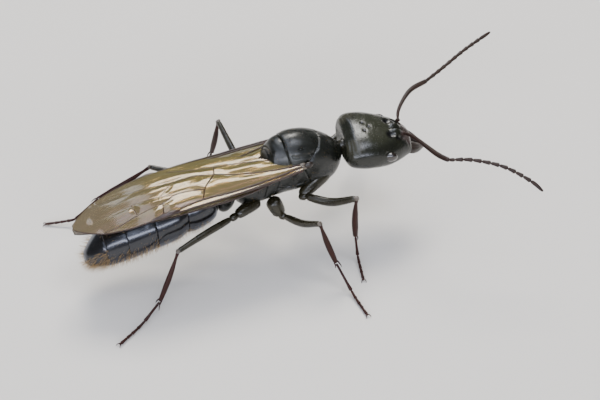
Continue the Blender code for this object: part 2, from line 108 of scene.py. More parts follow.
# What the hardened finishes share. Cloud, pits and net are sizes in millimetres.
chitin = {"cloud": 0.5, "pits": 0.1, "pitShare": 0.3, "pitStrength": 0.3, "net": 0.05, "netStrength": 0.2,
          "coat": 0.0, "coatRoughness": 0.2, "coatTint": "#ffffff", "down": 0.03, "downTint": "#c9c3a2",
          "shine": 0.5, "paintedLightAndShade": ()}


def makeCuticle(name, changes):
    # Hardened insect chitin: dark, with pits and a fine leathery net that spread its gloss
    look = {**chitin, **changes}
    material, tree, shader = newMaterial(name)
    where, cloud, colour = mottle(tree, look["colours"], look["cloud"], 4.0)
    # Painted light and shade: soft spots of a paler or darker colour that stand for highlights, reflections
    # and shade, as place, reach and colour
    for place, reach, code in look["paintedLightAndShade"]:
        away = addNode(tree, "VectorMath", {"operation": "DISTANCE", 1: toRow @ Vector(place)}, {0: where})
        amount = addNode(tree, "MapRange", {"From Min": reach * 0.001, "From Max": reach * 0.0004,
                                            "interpolation_type": "SMOOTHSTEP"},
                         {"Value": away.outputs["Value"]})
        spot = addNode(tree, "Mix", {"data_type": "RGBA", 7: linearColour(code)},
                       {"Factor": amount.outputs["Result"], 6: colour})
        colour = spot.outputs[2]
    smooth, rough = look["gloss"]
    gloss = addNode(tree, "MapRange", {"From Min": 0.3, "From Max": 0.7, "To Min": smooth,
                                       "To Max": rough}, {"Value": cloud})
    tree.links.new(gloss.outputs["Result"], shader.inputs["Roughness"])
    pits = addNode(tree, "TexVoronoi", {"Scale": perMetre(look["pits"])}, {"Vector": where})
    hollow = addNode(tree, "MapRange", {"From Min": 0.0, "From Max": look["pitShare"],
                                        "interpolation_type": "SMOOTHSTEP"},
                     {"Value": pits.outputs["Distance"]})
    net = addNode(tree, "TexNoise", {"Scale": perMetre(look["net"]), "Detail": 2.0}, {"Vector": where})
    dress(tree, shader, colour, [(hollow.outputs["Result"], look["pitStrength"], 0.00002),
                                 (net.outputs["Fac"], look["netStrength"], 0.00001)],
          {"IOR": chitinIor, "Specular IOR Level": look["shine"], "Coat Weight": look["coat"],
           "Coat Roughness": look["coatRoughness"], "Coat Tint": linearColour(look["coatTint"]),
           "Sheen Weight": look["down"], "Sheen Roughness": 0.35,
           "Sheen Tint": linearColour(look["downTint"])})
    return material


# Mesosoma and waist: satin black with a slate cast, close fine pits under a thin down,
# a little paler at the shoulders, which is a painted highlight
satinCuticle = makeCuticle("satinSlateBlackChitin", {
    "colours": ("#080906", "#181a14"), "cloud": 0.45, "gloss": (0.25, 0.36), "pitShare": 0.35,
    "pitStrength": 0.45, "netStrength": 0.3, "coat": 0.06, "coatRoughness": 0.22, "coatTint": "#e6ecf5",
    "shine": 0.41, "paintedLightAndShade": [((-0.85, sign * 1.05, 5.95), 0.7, "#31322d") for sign in sides.values()]})
# Gaster: polished black with a blue cast in its highlight
polishedCuticle = makeCuticle("polishedBlueBlackChitin", {
    "colours": ("#050403", "#120d09"), "cloud": 1.3, "gloss": (0.2, 0.28), "pits": 0.16, "pitShare": 0.25,
    "pitStrength": 0.15, "net": 0.07, "netStrength": 0.12, "coat": 0.45, "coatRoughness": 0.12,
    "coatTint": "#cfdcff", "downTint": "#b9a271"})
# Legs to the knee: glossy olive black
limbCuticle = makeCuticle("glossyOliveChitin", {
    "colours": ("#0d0b05", "#2c2714"), "gloss": (0.22, 0.34), "pits": 0.12, "pitStrength": 0.2,
    "netStrength": 0.15, "coat": 0.12, "coatRoughness": 0.15, "coatTint": "#f4efdd", "downTint": "#cdc6a0",
    "shine": 0.42})
# Shins and feet: thinner chitin, so red brown light comes through
russetCuticle = makeCuticle("russetChitin", {
    "colours": ("#1a0401", "#361006"), "gloss": (0.34, 0.46), "pits": 0.12, "pitStrength": 0.15, "down": 0.0,
    "shine": 0.22})
# Jaws, mouthparts and wing scales: thick dusky chitin, brown where it thins
duskyCuticle = makeCuticle("duskyJawChitin", {
    "colours": ("#110b07", "#2b1d13"), "gloss": (0.3, 0.42), "net": 0.04, "coat": 0.05,
    "downTint": "#b9a68a"})
# Feelers: dark brown under a dense felt of very short hairs, so nearly matt
feltedCuticle = makeCuticle("feltedBrownChitin", {
    "colours": ("#160a05", "#301b11"), "cloud": 0.4, "gloss": (0.42, 0.55), "pits": 0.05, "pitShare": 0.4,
    "net": 0.03, "netStrength": 0.3, "down": 0.02, "downTint": "#a98a68", "shine": 0.28})

# Compound eye: clear lenses of 0.02 mm, drawn at 0.04 mm so that they show at all
lenses = {"size": 0.04, "middle": "#2a2018", "edge": "#0b0907", "sockets": {
    "Roughness": 0.16, "IOR": chitinIor, "Coat Weight": 1.0, "Coat Roughness": 0.05}}


def makeFacets():
    material, tree, shader = newMaterial("lensFacetChitin")
    where = addNode(tree, "TexCoord").outputs["Object"]
    lens = addNode(tree, "TexVoronoi", {"Scale": perMetre(lenses["size"])}, {"Vector": where})
    tone = addNode(tree, "Mix", {"data_type": "RGBA", 6: linearColour(lenses["middle"]),
                                 7: linearColour(lenses["edge"])}, {"Factor": lens.outputs["Distance"]})
    dress(tree, shader, tone.outputs[2], [(lens.outputs["Distance"], 0.3, -0.00001)], lenses["sockets"])
    return material


# Wing membrane: a two-layer chitin film tinted amber, felted with microscopic hairs.
# The film is clear enough to show what lies under it and splits white light a little.
membrane = {
    "colours": ("#4a4421", "#786c3f"), "cloud": 1.6, "alpha": (0.6, 0.76),
    "dusk": "#665a43", "duskFrom": -6.5, "duskTo": -11.0,     # x where the wing's end turns dusky
    "ripple": 0.16, "rippleLength": 2.4, "hairs": 0.08,       # long ripples, and spacing of the hairs
    "sockets": {"Roughness": 0.2, "IOR": chitinIor, "Coat Weight": 1.0, "Coat Roughness": 0.1,
        "Thin Film Thickness": 268.0, "Thin Film IOR": 1.4}}


def makeMembrane():
    look = membrane
    material, tree, shader = newMaterial("amberChitinFilm")
    where, cloud, tone = mottle(tree, look["colours"], look["cloud"], 3.0)
    axes = addNode(tree, "SeparateXYZ", links={"Vector": where})
    nearX, farX = ((toRow @ Vector((look[key], 0, 0))).x for key in ("duskFrom", "duskTo"))
    outer = addNode(tree, "MapRange", {"From Min": nearX, "From Max": farX}, {"Value": axes.outputs["X"]})
    dusk = addNode(tree, "Mix", {"data_type": "RGBA", 7: linearColour(look["dusk"])},
                   {"Factor": outer.outputs["Result"], 6: tone})
    clear = addNode(tree, "MapRange", {"To Min": look["alpha"][0], "To Max": look["alpha"][1]},
                    {"Value": cloud})
    tree.links.new(clear.outputs["Result"], shader.inputs["Alpha"])
    long, short = perMetre(look["rippleLength"]), perMetre(look["ripple"])
    drawn = addNode(tree, "Mapping", {"Scale": (long, short, long)}, {"Vector": where})
    ripple = addNode(tree, "TexNoise", {"Scale": 1.0, "Detail": 2.0}, {"Vector": drawn.outputs["Vector"]})
    hairs = addNode(tree, "TexVoronoi", {"Scale": perMetre(look["hairs"])}, {"Vector": where})
    dress(tree, shader, dusk.outputs[2], [(ripple.outputs["Fac"], 0.5, 0.00006),
                                          (hairs.outputs["Distance"], 0.12, 0.000008)], look["sockets"])
    return material


def makePlain(name, colours, roughness, coat):
    # A thin thread or skin of chitin: its colour wavers, and a short grain breaks its gloss
    material, tree, shader = newMaterial(name)
    _, grain, tone = mottle(tree, colours, 0.25, 2.0)
    dress(tree, shader, tone, [(grain, 0.2, 0.00001)], {"Roughness": roughness, "Coat Weight": coat})
    return material


lensCuticle = makeFacets()
wingFilm = makeMembrane()
veinCuticle = makePlain("brownVeinChitin", ("#1c0e07", "#3a2214"), 0.34, 0.2)
goldenHair = makePlain("goldenHairChitin", ("#7a5c30", "#c4a26a"), 0.35, 0.3)
# Pale joint skin; at the knees its paleness is also a painted highlight
paleSkinAndKneeHighlight = makePlain("paleJointSkinAndKneeHighlight", ("#3b332b", "#70665a"), 0.36, 0.3)
print("finishes made")


# The shaping helpers below work in millimetres

def readTable(rows, value, column):
    # Smooth reading of one column of a table, by the value of its first column
    rows = sorted(rows)
    if value <= rows[0][0]:
        return rows[0][column]
    for i in range(len(rows) - 1):
        low, high = rows[i], rows[i + 1]
        if value <= high[0]:
            before, after = rows[max(i - 1, 0)], rows[min(i + 2, len(rows) - 1)]
            span = high[0] - low[0]
            t = (value - low[0]) / span
            leave = (high[column] - before[column]) / (high[0] - before[0]) * span
            arrive = (after[column] - low[column]) / (after[0] - low[0]) * span
            return ((2 * t**3 - 3 * t**2 + 1) * low[column] + (t**3 - 2 * t**2 + t) * leave
                    + (3 * t**2 - 2 * t**3) * high[column] + (t**3 - t**2) * arrive)
    return rows[-1][column]


def addRing(bm, middle, across, upward, wide, rise, fall, count, squareness=2.0):
    ring = bmesh.ops.create_circle(bm, segments=count, radius=1.0)["verts"]
    edges = list({edge for vert in ring for edge in vert.link_edges})
    power = 2.0 / squareness
    for vert in ring:
        c, s = vert.co.x, vert.co.y
        side = math.copysign(abs(c) ** power, c) * wide
        height = math.copysign(abs(s) ** power, s) * (rise if s > 0 else fall)
        vert.co = middle + across * side + upward * height
    return ring, edges


def joinRings(bm, rings):
    for (_, firstEdges), (_, secondEdges) in zip(rings, rings[1:]):
        bmesh.ops.bridge_loops(bm, edges=firstEdges + secondEdges)
    for ring, _ in (rings[0], rings[-1]):
        centre = sum((vert.co for vert in ring), Vector()) / len(ring)
        bmesh.ops.pointmerge(bm, verts=ring, merge_co=centre)
    bmesh.ops.recalc_face_normals(bm, faces=bm.faces)
    bm.normal_update()


def steps(low, high, spacing):
    count = max(2, round(abs(high - low) / spacing))
    return [low + (high - low) * i / count for i in range(count + 1)]


def loftBody(form, places, count, squareness=2.0, sideways=0, shrink=None):
    # Upright rings along x through a table of x, z, half width, height above z, depth below z.
    # The first and last rings close to a pole.
    bm = bmesh.new()
    rings = []
    for i, x in enumerate(places):
        z, wide, rise, fall = (readTable(form, x, column) for column in range(1, 5))
        y = readTable(form, x, sideways) if sideways else 0.0
        scale = shrink[i] if shrink else 0.02 if i in (0, len(places) - 1) else 1.0
        rings.append(addRing(bm, Vector((x, y, z)), Vector((0, 1, 0)), Vector((0, 0, 1)),
                             wide * scale, rise * scale, fall * scale, count, squareness))
    joinRings(bm, rings)
    return bm


def swell(bm, rows):
    # Raise or sink soft spots: place, reach in x, y and z, then height along the skin.
    # A spot off the middle line works on both sides.
    for x, y, z, *reach, height in rows + [(row[0], -row[1]) + row[2:] for row in rows if row[1]]:
        middle = Vector((x, y, z))
        moves = []
        for vert in bm.verts:
            away = vert.co - middle
            d = sum((away[k] / reach[k]) ** 2 for k in range(3))
            if d < 1.0:
                moves.append((vert, vert.normal * height * (1 - d) ** 2))
        for vert, move in moves:
            vert.co += move
    bm.normal_update()


def distanceTo(point, a, b):
    along = b - a
    t = max(0.0, min(1.0, (point - a).dot(along) / max(along.length_squared, 1e-9)))
    return (point - a - along * t).length


def score(bm, lines, width, depth, sideView=False):
    # Press a round-bottomed groove along lines. A line off the middle works on both sides.
    lines = lines + [[(x, -y, z) for x, y, z in line] for line in lines if any(point[1] for point in line)]
    segments = [(Vector(a), Vector(b)) for line in lines for a, b in zip(line, line[1:])]
    reach = 2.4 * width
    for vert in bm.verts:
        point = Vector((vert.co.x, 0.0, vert.co.z)) if sideView else vert.co
        nearest = reach
        for a, b in segments:
            if min(a.x, b.x) - reach < point.x < max(a.x, b.x) + reach:
                nearest = min(nearest, distanceTo(point, a, b))
        if nearest < reach:
            vert.co -= vert.normal * depth * math.exp(-(nearest / width) ** 2)
    bm.normal_update()


def roughen(bm, height, pitch, shift=0.0):
    # The slow unevenness of a grown skin
    for vert in bm.verts:
        vert.co += vert.normal * height * noise.noise(vert.co * pitch + Vector((shift, 0, 0)))
    bm.normal_update()


def cutAway(bm, point, outward):
    # Drop what lies beyond a plane and close the cut with a sharp edge
    geometry = bm.verts[:] + bm.edges[:] + bm.faces[:]
    cut = bmesh.ops.bisect_plane(bm, geom=geometry, plane_co=point, plane_no=outward, dist=1e-5,
                                 clear_outer=True)["geom_cut"]
    edges = [item for item in cut if isinstance(item, bmesh.types.BMEdge)]
    caps = bmesh.ops.holes_fill(bm, edges=edges)["faces"]
    bmesh.ops.triangulate(bm, faces=caps)


def keepLeft(bm, start, end, play=0.012):
    # Cut along a line in the side view, x and z, and keep what lies left of it
    along = Vector((end[0] - start[0], 0.0, end[1] - start[1])).normalized()
    outward = Vector((along.z, 0.0, -along.x))
    cutAway(bm, Vector((start[0], 0.0, start[1])) - outward * play, outward)


def smoothPath(points, parts):
    points = [Vector(p) for p in points]
    if len(points) == 2:
        return [points[0].lerp(points[1], i / parts) for i in range(parts + 1)]
    ends = [2 * points[0] - points[1]] + points + [2 * points[-1] - points[-2]]
    line = []
    for a, b, c, d in zip(ends, ends[1:], ends[2:], ends[3:]):
        for i in range(parts):
            t = i / parts
            line.append(0.5 * (2 * b + (c - a) * t + (2 * a - 5 * b + 4 * c - d) * t * t
                               + (3 * b - a - 3 * c + d) * t**3))
    return line + [points[-1]]


class Route:
    # A smooth line that can be read by the distance along it
    def __init__(self, points):
        self.line = smoothPath(points, 10)
        self.marks = [0.0]
        for a, b in zip(self.line, self.line[1:]):
            self.marks.append(self.marks[-1] + (b - a).length)
        self.length = self.marks[-1]

    def at(self, distance):
        distance = max(0.0, min(self.length, distance))
        for i in range(len(self.line) - 1):
            if distance <= self.marks[i + 1] or i == len(self.line) - 2:
                span = max(self.marks[i + 1] - self.marks[i], 1e-9)
                return self.line[i].lerp(self.line[i + 1], (distance - self.marks[i]) / span)

    def heading(self, distance):
        return (self.at(distance + 0.03) - self.at(distance - 0.03)).normalized()


def addTube(bm, way, radii, start=0.0, end=None, count=16, spacing=0.06, flat=1.0):
    # A tube with round ends, along a Route or through points. radii holds rows of the share of
    # the way and the radius there; flat squeezes the tube from side to side.
    route = way if isinstance(way, Route) else Route(way)
    end = route.length if end is None else end
    length = end - start
    first, last = radii[0][1], radii[-1][1]
    capShares = (0.0, 0.12, 0.35, 0.7)
    places = [share * first for share in capShares]
    if length > first + last:
        places += steps(first, length - last, spacing)
    places += [length - share * last for share in reversed(capShares)]
    rings = []
    for p in places:
        radius = readTable(radii, p / length, 1)
        for edge, room in ((first, p), (last, length - p)):
            if room < edge:
                radius *= math.sqrt(max(0.0004, 1 - (1 - room / edge) ** 2))
        heading = route.heading(start + p)
        across = heading.cross(Vector((0, 0, 1)))
        if across.length < 0.05:
            across = heading.cross(Vector((1, 0, 0)))
        across.normalize()
        upward = across.cross(heading).normalized()
        rings.append(addRing(bm, route.at(start + p), across, upward, radius * flat, radius, radius, count))
    joinRings(bm, rings)


def addBall(bm, middle, size, across, around):
    ball = bmesh.ops.create_uvsphere(bm, u_segments=around, v_segments=across, radius=1.0)["verts"]
    bmesh.ops.scale(bm, vec=size, verts=ball)
    bmesh.ops.translate(bm, vec=middle, verts=ball)


def scaled(rows, factor):
    return [(share, radius * factor) for share, radius in rows]


def addObject(name, data):
    obj = bpy.data.objects.new(name, data)
    bpy.context.scene.collection.objects.link(obj)
    return obj


def finishPiece(name, bm, material, nodes=(), sharp=38.0, place=None):
    if place is not None:
        bmesh.ops.transform(bm, matrix=place, verts=bm.verts)
    bmesh.ops.transform(bm, matrix=toRow, verts=bm.verts)
    bmesh.ops.recalc_face_normals(bm, faces=bm.faces)
    mesh = bpy.data.meshes.new(name)
    bm.to_mesh(mesh)
    bm.free()
    mesh.materials.append(material)
    mesh.shade_smooth()
    mesh.set_sharp_from_angle(angle=math.radians(sharp))
    obj = addObject(name, mesh)
    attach(obj, bodyName)
    if nodes:
        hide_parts(*nodes)


# Mesosoma: one body lofted through rings, scored along its sutures and cut into plates

mesosoma = {
    # x, z, half width, height above z, depth below z
    "form": [(2.38, 5.08, 0.36, 0.32, 0.36), (2.2, 4.9, 0.62, 0.6, 0.74), (1.86, 4.8, 0.94, 1.08, 1.12),
        (1.4, 4.85, 1.18, 1.38, 1.4), (0.8, 4.95, 1.3, 1.66, 1.55), (0.1, 5.0, 1.35, 1.86, 1.6),
        (-0.6, 5.0, 1.35, 1.9, 1.6), (-1.2, 4.9, 1.24, 1.8, 1.55), (-1.75, 4.7, 1.1, 1.56, 1.45),
        (-2.05, 4.5, 1.05, 0.85, 1.35), (-2.8, 4.25, 0.98, 0.8, 1.15), (-3.3, 4.05, 0.82, 0.62, 0.9),
        (-3.6, 3.9, 0.5, 0.4, 0.5)],
    "places": [2.4] + steps(2.36, -3.58, 0.055) + [-3.62], "count": 128,
    # Ends of the sutures in the side view, x and z
    "points": {
        "collarTop": (1.3, 6.6), "collarFoot": (-0.2, 5.52), "breastFoot": (0.65, 3.0),
        "scutumTop": (-1.02, 7.0), "scutumFoot": (-0.85, 5.45), "wingEnd": (-2.15, 5.3),
        "waistTop": (-1.95, 5.4), "waistFoot": (-2.55, 2.8), "backTop": (-1.72, 6.6),
        "backFoot": (-1.86, 5.2), "flankFront": (0.42, 4.55), "flankBack": (-1.62, 4.35),
        "hindTop": (-1.4, 5.4), "hindFoot": (-1.95, 2.8)},
    # Width and depth of a suture, then its points
    "sutures": [(0.04, 0.08, ["collarTop>collarFoot>breastFoot", "scutumTop>scutumFoot>wingEnd",
        "collarFoot>scutumFoot", "waistTop>waistFoot", "backTop>backFoot"]),
        (0.04, 0.064, ["flankFront>flankBack", "hindTop>hindFoot"])],
    # Crowns of the plates, as place, reach and height
    "crowns": [(1.75, 0.75, 4.9, 0.7, 0.6, 0.9, 0.04), (-1.35, 0.3, 6.5, 0.45, 0.7, 0.5, 0.06),
        (-2.9, 0.45, 4.9, 0.7, 0.4, 0.5, 0.05), (-0.6, 1.3, 4.0, 0.9, 0.5, 0.7, 0.05),
        (-2.3, 1.0, 3.9, 0.5, 0.4, 0.5, 0.06)],
    # Spiracle slits of the propodeum, gland openings low behind, shoulders beside the neck
    "hollows": [(-2.62, 0.98, 4.35, 0.1, 0.2, 0.2, -0.07), (-2.95, 0.82, 3.7, 0.16, 0.25, 0.12, -0.06),
        (2.0, 0.5, 5.5, 0.3, 0.4, 0.3, -0.05)],
    # Grooves as width, depth and lines: parapsidal and middle lines of the scutum with the
    # groove down the propodeum's back, then the edge of the scutum's dome above the wing root
    "grooves": [(0.035, 0.028, [[(-0.95, 0.52, 6.62), (-0.3, 0.62, 6.66), (0.25, 0.66, 6.56)],
        [(1.15, 0.0, 6.38), (0.45, 0.0, 6.78)], [(-2.15, 0.62, 5.1), (-3.0, 0.55, 4.8), (-3.4, 0.4, 4.6)]]),
        (0.045, 0.065, [[(-0.92, 0.7, 6.16), (-0.72, 1.03, 6.17), (-0.35, 1.1, 6.11), (0.1, 1.1, 6.08),
        (0.48, 1.0, 6.12), (0.8, 0.84, 6.16)]])],
    "unevenness": (0.012, 2.2),
    # Cuts whose left side is kept, then the solid that the plate stands for
    "plates": {
        "pronotumPlate": ("collarTop>collarFoot collarFoot>breastFoot", ("pronotum",)),
        "scutumPlate": ("collarFoot>collarTop scutumTop>scutumFoot scutumFoot>collarFoot", ("scutum",)),
        "scutellumPlate": ("scutumFoot>scutumTop wingEnd>scutumFoot backTop>backFoot", ("scutellum",)),
        "metanotumPlate": ("backFoot>backTop wingEnd>scutumFoot", ()),
        "mesopleuraUpper": ("collarFoot>scutumFoot scutumFoot>wingEnd breastFoot>collarFoot "
                            "flankBack>flankFront hindTop>hindFoot", ("pleura",)),
        "mesopleuraLower": ("breastFoot>collarFoot flankFront>flankBack hindTop>hindFoot", ()),
        "metapleura": ("scutumFoot>wingEnd hindFoot>hindTop waistTop>waistFoot", ()),
        "propodeumPlate": ("waistFoot>waistTop scutumFoot>wingEnd", ("propodeum",))}}


def makeMesosoma():
    m = mesosoma
    points = m["points"]
    whole = loftBody(m["form"], m["places"], m["count"])
    swell(whole, m["crowns"])
    for width, depth, lines in m["sutures"]:
        paths = [[(points[key][0], 0.0, points[key][1]) for key in line.split(">")] for line in lines]
        score(whole, paths, width, depth, sideView=True)
    for width, depth, lines in m["grooves"]:
        score(whole, lines, width, depth)
    swell(whole, m["hollows"])
    roughen(whole, *m["unevenness"])
    for name, (cuts, nodes) in m["plates"].items():
        bm = whole.copy()
        for cut in cuts.split():
            start, end = cut.split(">")
            keepLeft(bm, points[start], points[end])
        finishPiece(name, bm, satinCuticle, nodes)
    whole.free()


makeMesosoma()
print("mesosoma plates made")

# Waist: the node between mesosoma and gaster, and the necks at both its ends

petiole = {
    "form": [(-3.66, 3.85, 0.26, 0.24, 0.3), (-3.85, 3.8, 0.5, 0.62, 0.5), (-4.12, 3.75, 0.68, 0.98, 0.62),
        (-4.4, 3.72, 0.72, 1.05, 0.66), (-4.62, 3.72, 0.6, 0.75, 0.58), (-4.72, 3.74, 0.4, 0.4, 0.44)],
    "places": [-3.62] + steps(-3.66, -4.72, 0.045) + [-4.76], "count": 72, "squareness": 2.15,
    # Dents and shoulders of the sides, then the keel below and the hollow in front
    "spots": [[(-3.95, 0.62, 3.85, 0.1, 0.15, 0.1, -0.05), (-4.3, 0.35, 4.7, 0.3, 0.35, 0.3, 0.04)],
        [(-4.1, 0.0, 3.1, 0.3, 0.22, 0.3, 0.12), (-3.95, 0.0, 4.3, 0.25, 0.45, 0.4, -0.05)]],
    "necks": [[(-3.45, 0, 3.88), (-3.8, 0, 3.8)], [(-4.6, 0, 3.88), (-4.95, 0, 3.8)]], "neckRadius": 0.22}


def makePetiole():
    p = petiole
    bm = loftBody(p["form"], p["places"], p["count"], p["squareness"])
    for rows in p["spots"]:
        swell(bm, rows)
    finishPiece("petioleNode", bm, satinCuticle, ("petiole",))
    bm = bmesh.new()
    for path in p["necks"]:
        addTube(bm, path, [(0, p["neckRadius"]), (1, p["neckRadius"])], spacing=0.05, count=24)
    finishPiece("waistJoints", bm, limbCuticle)


makePetiole()

# Gaster: five rings of a back plate that laps over a belly plate

gaster = {
    # As the mesosoma's form, but in shares of the girth: half the width, half the depth
    "girth": (1.5, 1.4),
    "form": [(-4.78, 3.76, 0.42, 0.42, 0.42), (-5.05, 3.8, 0.66, 0.7, 0.66), (-5.6, 3.84, 0.82, 0.88, 0.86),
        (-6.25, 3.78, 0.88, 0.92, 0.92), (-6.62, 3.73, 0.85, 0.88, 0.88), (-7.1, 3.66, 0.95, 0.97, 0.98),
        (-7.9, 3.56, 1.0, 1.0, 1.0), (-8.9, 3.42, 1.0, 1.0, 1.0), (-9.7, 3.2, 0.95, 0.97, 0.96),
        (-10.4, 2.94, 0.84, 0.88, 0.88), (-11.1, 2.66, 0.66, 0.7, 0.72), (-11.6, 2.42, 0.46, 0.5, 0.52),
        (-11.95, 2.28, 0.26, 0.28, 0.3), (-12.08, 2.24, 0.12, 0.12, 0.13)],
    "seams": [-4.8, -6.62, -8.4, -9.95, -11.05, -12.06],
    # Edges of a ring, as x from its seam and share of the girth: the first ring's front, the
    # others' front, which reaches under the ring before, a back edge that turns in, and the tip
    "firstFront": [(0.0, 0.02), (-0.015, 0.8), (-0.05, 0.97)],
    "front": [(0.1, 0.02), (0.09, 0.92), (0.05, 0.94), (0.0, 0.972), (-0.06, 0.984)],
    "back": [(0.04, 0.998), (0.02, 0.994), (0.012, 0.982), (0.02, 0.955), (0.03, 0.02)],
    "tip": [(0.04, 0.9), (0.0, 0.02)],
    "between": (0.12, 0.08),          # room that the two edges take from the rings between them
    "flare": (0.989, 0.02, 0.998),    # share of the girth behind the seam, its growth and its limit
    "sideSeam": -0.3,                 # height of the side seam below the middle, as a share of the depth
    "plates": {"tergite": (-1, 1.0), "sternite": (1, 0.985)},    # side that is cut off, and girth
    "groove": (0.05, 0.018), "play": 0.01, "spacing": 0.06, "count": 120}


def scaledForm(body):
    wide, deep = body["girth"]
    return [(x, z, w * wide, u * deep, d * deep) for x, z, w, u, d in body["form"]]


gaster["form"] = scaledForm(gaster)


def makeGaster():
    g = gaster
    form, rings = g["form"], list(zip(g["seams"], g["seams"][1:]))
    least, growth, most = g["flare"]
    ahead, behind = g["between"]
    for number, (front, back) in enumerate(rings, 1):
        rows = [(front + x, share) for x, share in g["firstFront" if number == 1 else "front"]]
        rows += [(x, min(most, least + growth * (front - x)))
                 for x in steps(front - ahead, back + behind, g["spacing"])]
        rows += [(back + x, share) for x, share in g["tip" if number == len(rings) else "back"]]
        middle = (front + back) / 2
        height = readTable(form, middle, 1) + g["sideSeam"] * readTable(form, middle, 4)
        slope = (readTable(form, front, 1) - readTable(form, back, 1)) / (front - back)
        point = Vector((middle, 0.0, height))
        normal = Vector((-slope, 0.0, 1.0)).normalized()
        seam = [point + Vector((1, 0, slope)) * (x - middle) for x in (front, back)]
        for part, (away, girth) in g["plates"].items():
            bm = loftBody(form, [x for x, _ in rows], g["count"], shrink=[share * girth for _, share in rows])
            if part == "tergite":
                score(bm, [seam], *g["groove"], sideView=True)
            cutAway(bm, point - normal * away * g["play"], normal * away)
            nodes = (f"gaster_{number}",) if part == "tergite" else ()
            finishPiece(f"{part}{number}", bm, polishedCuticle, nodes)


makeGaster()
print("waist and gaster made")

# Head, in its own frame: x ahead from the middle of its hind margin

headShape = {
    "place": (2.48, 0.0, 5.5), "turn": -10.0, "nod": 11.0, "lean": 5.0,
    "girth": (1.8, 1.05), "squareness": 2.3, "count": 132,
    "form": [(0.0, 0.0, 0.7, 0.42, 0.45), (0.1, 0.0, 0.86, 0.62, 0.66), (0.4, 0.0, 0.98, 0.86, 0.88),
        (0.9, 0.0, 1.0, 0.98, 1.0), (1.6, 0.0, 0.97, 1.0, 1.0), (2.4, 0.0, 0.87, 0.93, 0.92),
        (3.05, 0.0, 0.71, 0.84, 0.74), (3.6, 0.02, 0.52, 0.56, 0.5), (3.75, 0.0, 0.46, 0.4, 0.38)],
    "places": [-0.03, 0.0, 0.02, 0.05, 0.08] + steps(0.12, 3.66, 0.045) + [3.7, 3.74, 3.77],
    "eye": (2.38, 1.5, 0.22), "eyeSize": (0.36, 0.2, 0.28), "socket": (3.05, 0.43, 0.98),
    "ocelli": {"Front": (1.3, 0.0), "Left": (1.0, 0.3), "Right": (1.0, -0.3)}, "ocellusRadius": 0.1,
    "ocellusLevel": 0.975, "ocellusHollow": (1.03, 0.2, 0.2, 0.3, -0.03),
    # Place, reach and height: the frontal lobes over the feeler sockets, the sockets, the
    # hollows behind them, the jaw corners and the cheeks; then the clypeus, the hollow over
    # the neck, the nape and the throat
    "spots": [[(2.8, 0.2, 0.92, 0.46, 0.19, 0.4, 0.14), (3.13, 0.56, 0.8, 0.34, 0.2, 0.4, -0.15),
        (2.45, 0.52, 0.95, 0.36, 0.24, 0.4, -0.13), (2.82, 0.72, 0.82, 0.24, 0.2, 0.34, -0.05),
        (3.5, 0.6, 0.0, 0.4, 0.45, 0.3, 0.04), (1.2, 1.1, 0.7, 1.0, 0.8, 0.7, 0.03)],
        [(3.48, 0.0, 0.6, 0.36, 0.46, 0.5, 0.09), (0.0, 0.0, -0.15, 0.35, 0.75, 0.55, -0.2),
        (0.05, 0.0, 1.0, 0.5, 0.9, 0.5, -0.05), (2.0, 0.0, -1.0, 1.6, 0.6, 0.4, 0.03)]],
    # Width, depth and line: furrow down the brow, seam of the clypeus, throat seam
    "grooves": [(0.035, 0.045, [(1.7, 0.0, 1.05), (2.3, 0.0, 1.0), (3.15, 0.0, 0.85)]),
        (0.035, 0.035, [(3.18, 0.1, 0.86), (3.28, 0.36, 0.8), (3.42, 0.66, 0.62), (3.62, 0.92, 0.34)]),
        (0.05, 0.05, [(0.4, 0.0, -0.95), (2.0, 0.0, -1.05), (3.2, 0.0, -0.8)])],
    "eyeRim": 0.07, "eyeGroove": (0.05, 0.045),
    "hindRim": [(0.13, 0, -2.0), (0.13, 0, 2.0)], "hindGroove": (0.05, 0.03),
    "unevenness": (0.01, 2.6, 5.0)}
headShape["form"] = scaledForm(headShape)
headPlace = (Matrix.Translation(headShape["place"]) @ Matrix.Rotation(math.radians(headShape["turn"]), 4, "Z")
             @ Matrix.Rotation(math.radians(headShape["nod"]), 4, "Y")
             @ Matrix.Rotation(math.radians(headShape["lean"]), 4, "X"))


def onHead(rows):
    # Spots of painted light and shade given in the head's frame for its left half, set on both halves
    return [(headPlace @ Vector((x, sign * y, z)), reach, code) for x, y, z, reach, code in rows
            for sign in sides.values()]


# Head: satin chitin in olive black. The paler brow is painted light on the head's top, the paler hind corners
# a painted reflection, the paler clypeus the painted sheen of its fine down, and the black in the hollows
# round the feelers painted shade
headCuticle = makeCuticle("satinOliveBlackChitin", {
    "colours": ("#0a0b06", "#1d1e12"), "cloud": 0.7, "gloss": (0.21, 0.3), "pitShare": 0.35,
    "pitStrength": 0.35, "netStrength": 0.25, "coat": 0.08, "coatTint": "#dbe5f8", "down": 0.05,
    "shine": 0.42, "paintedLightAndShade": onHead([(1.5, 0.3, 1.02, 1.3, "#26271a"), (0.25, 1.25, 0.62, 0.75, "#2f2d21"),
        (3.5, 0.34, 0.58, 0.6, "#3d332f"), (2.42, 0.52, 0.92, 0.34, "#010101"),
        (2.86, 0.66, 0.82, 0.22, "#030302")])})


def ovalLine(middle, size, count=24):
    return [(middle[0] + size[0] * math.cos(i * math.tau / count), middle[1],
             middle[2] + size[1] * math.sin(i * math.tau / count)) for i in range(count + 1)]


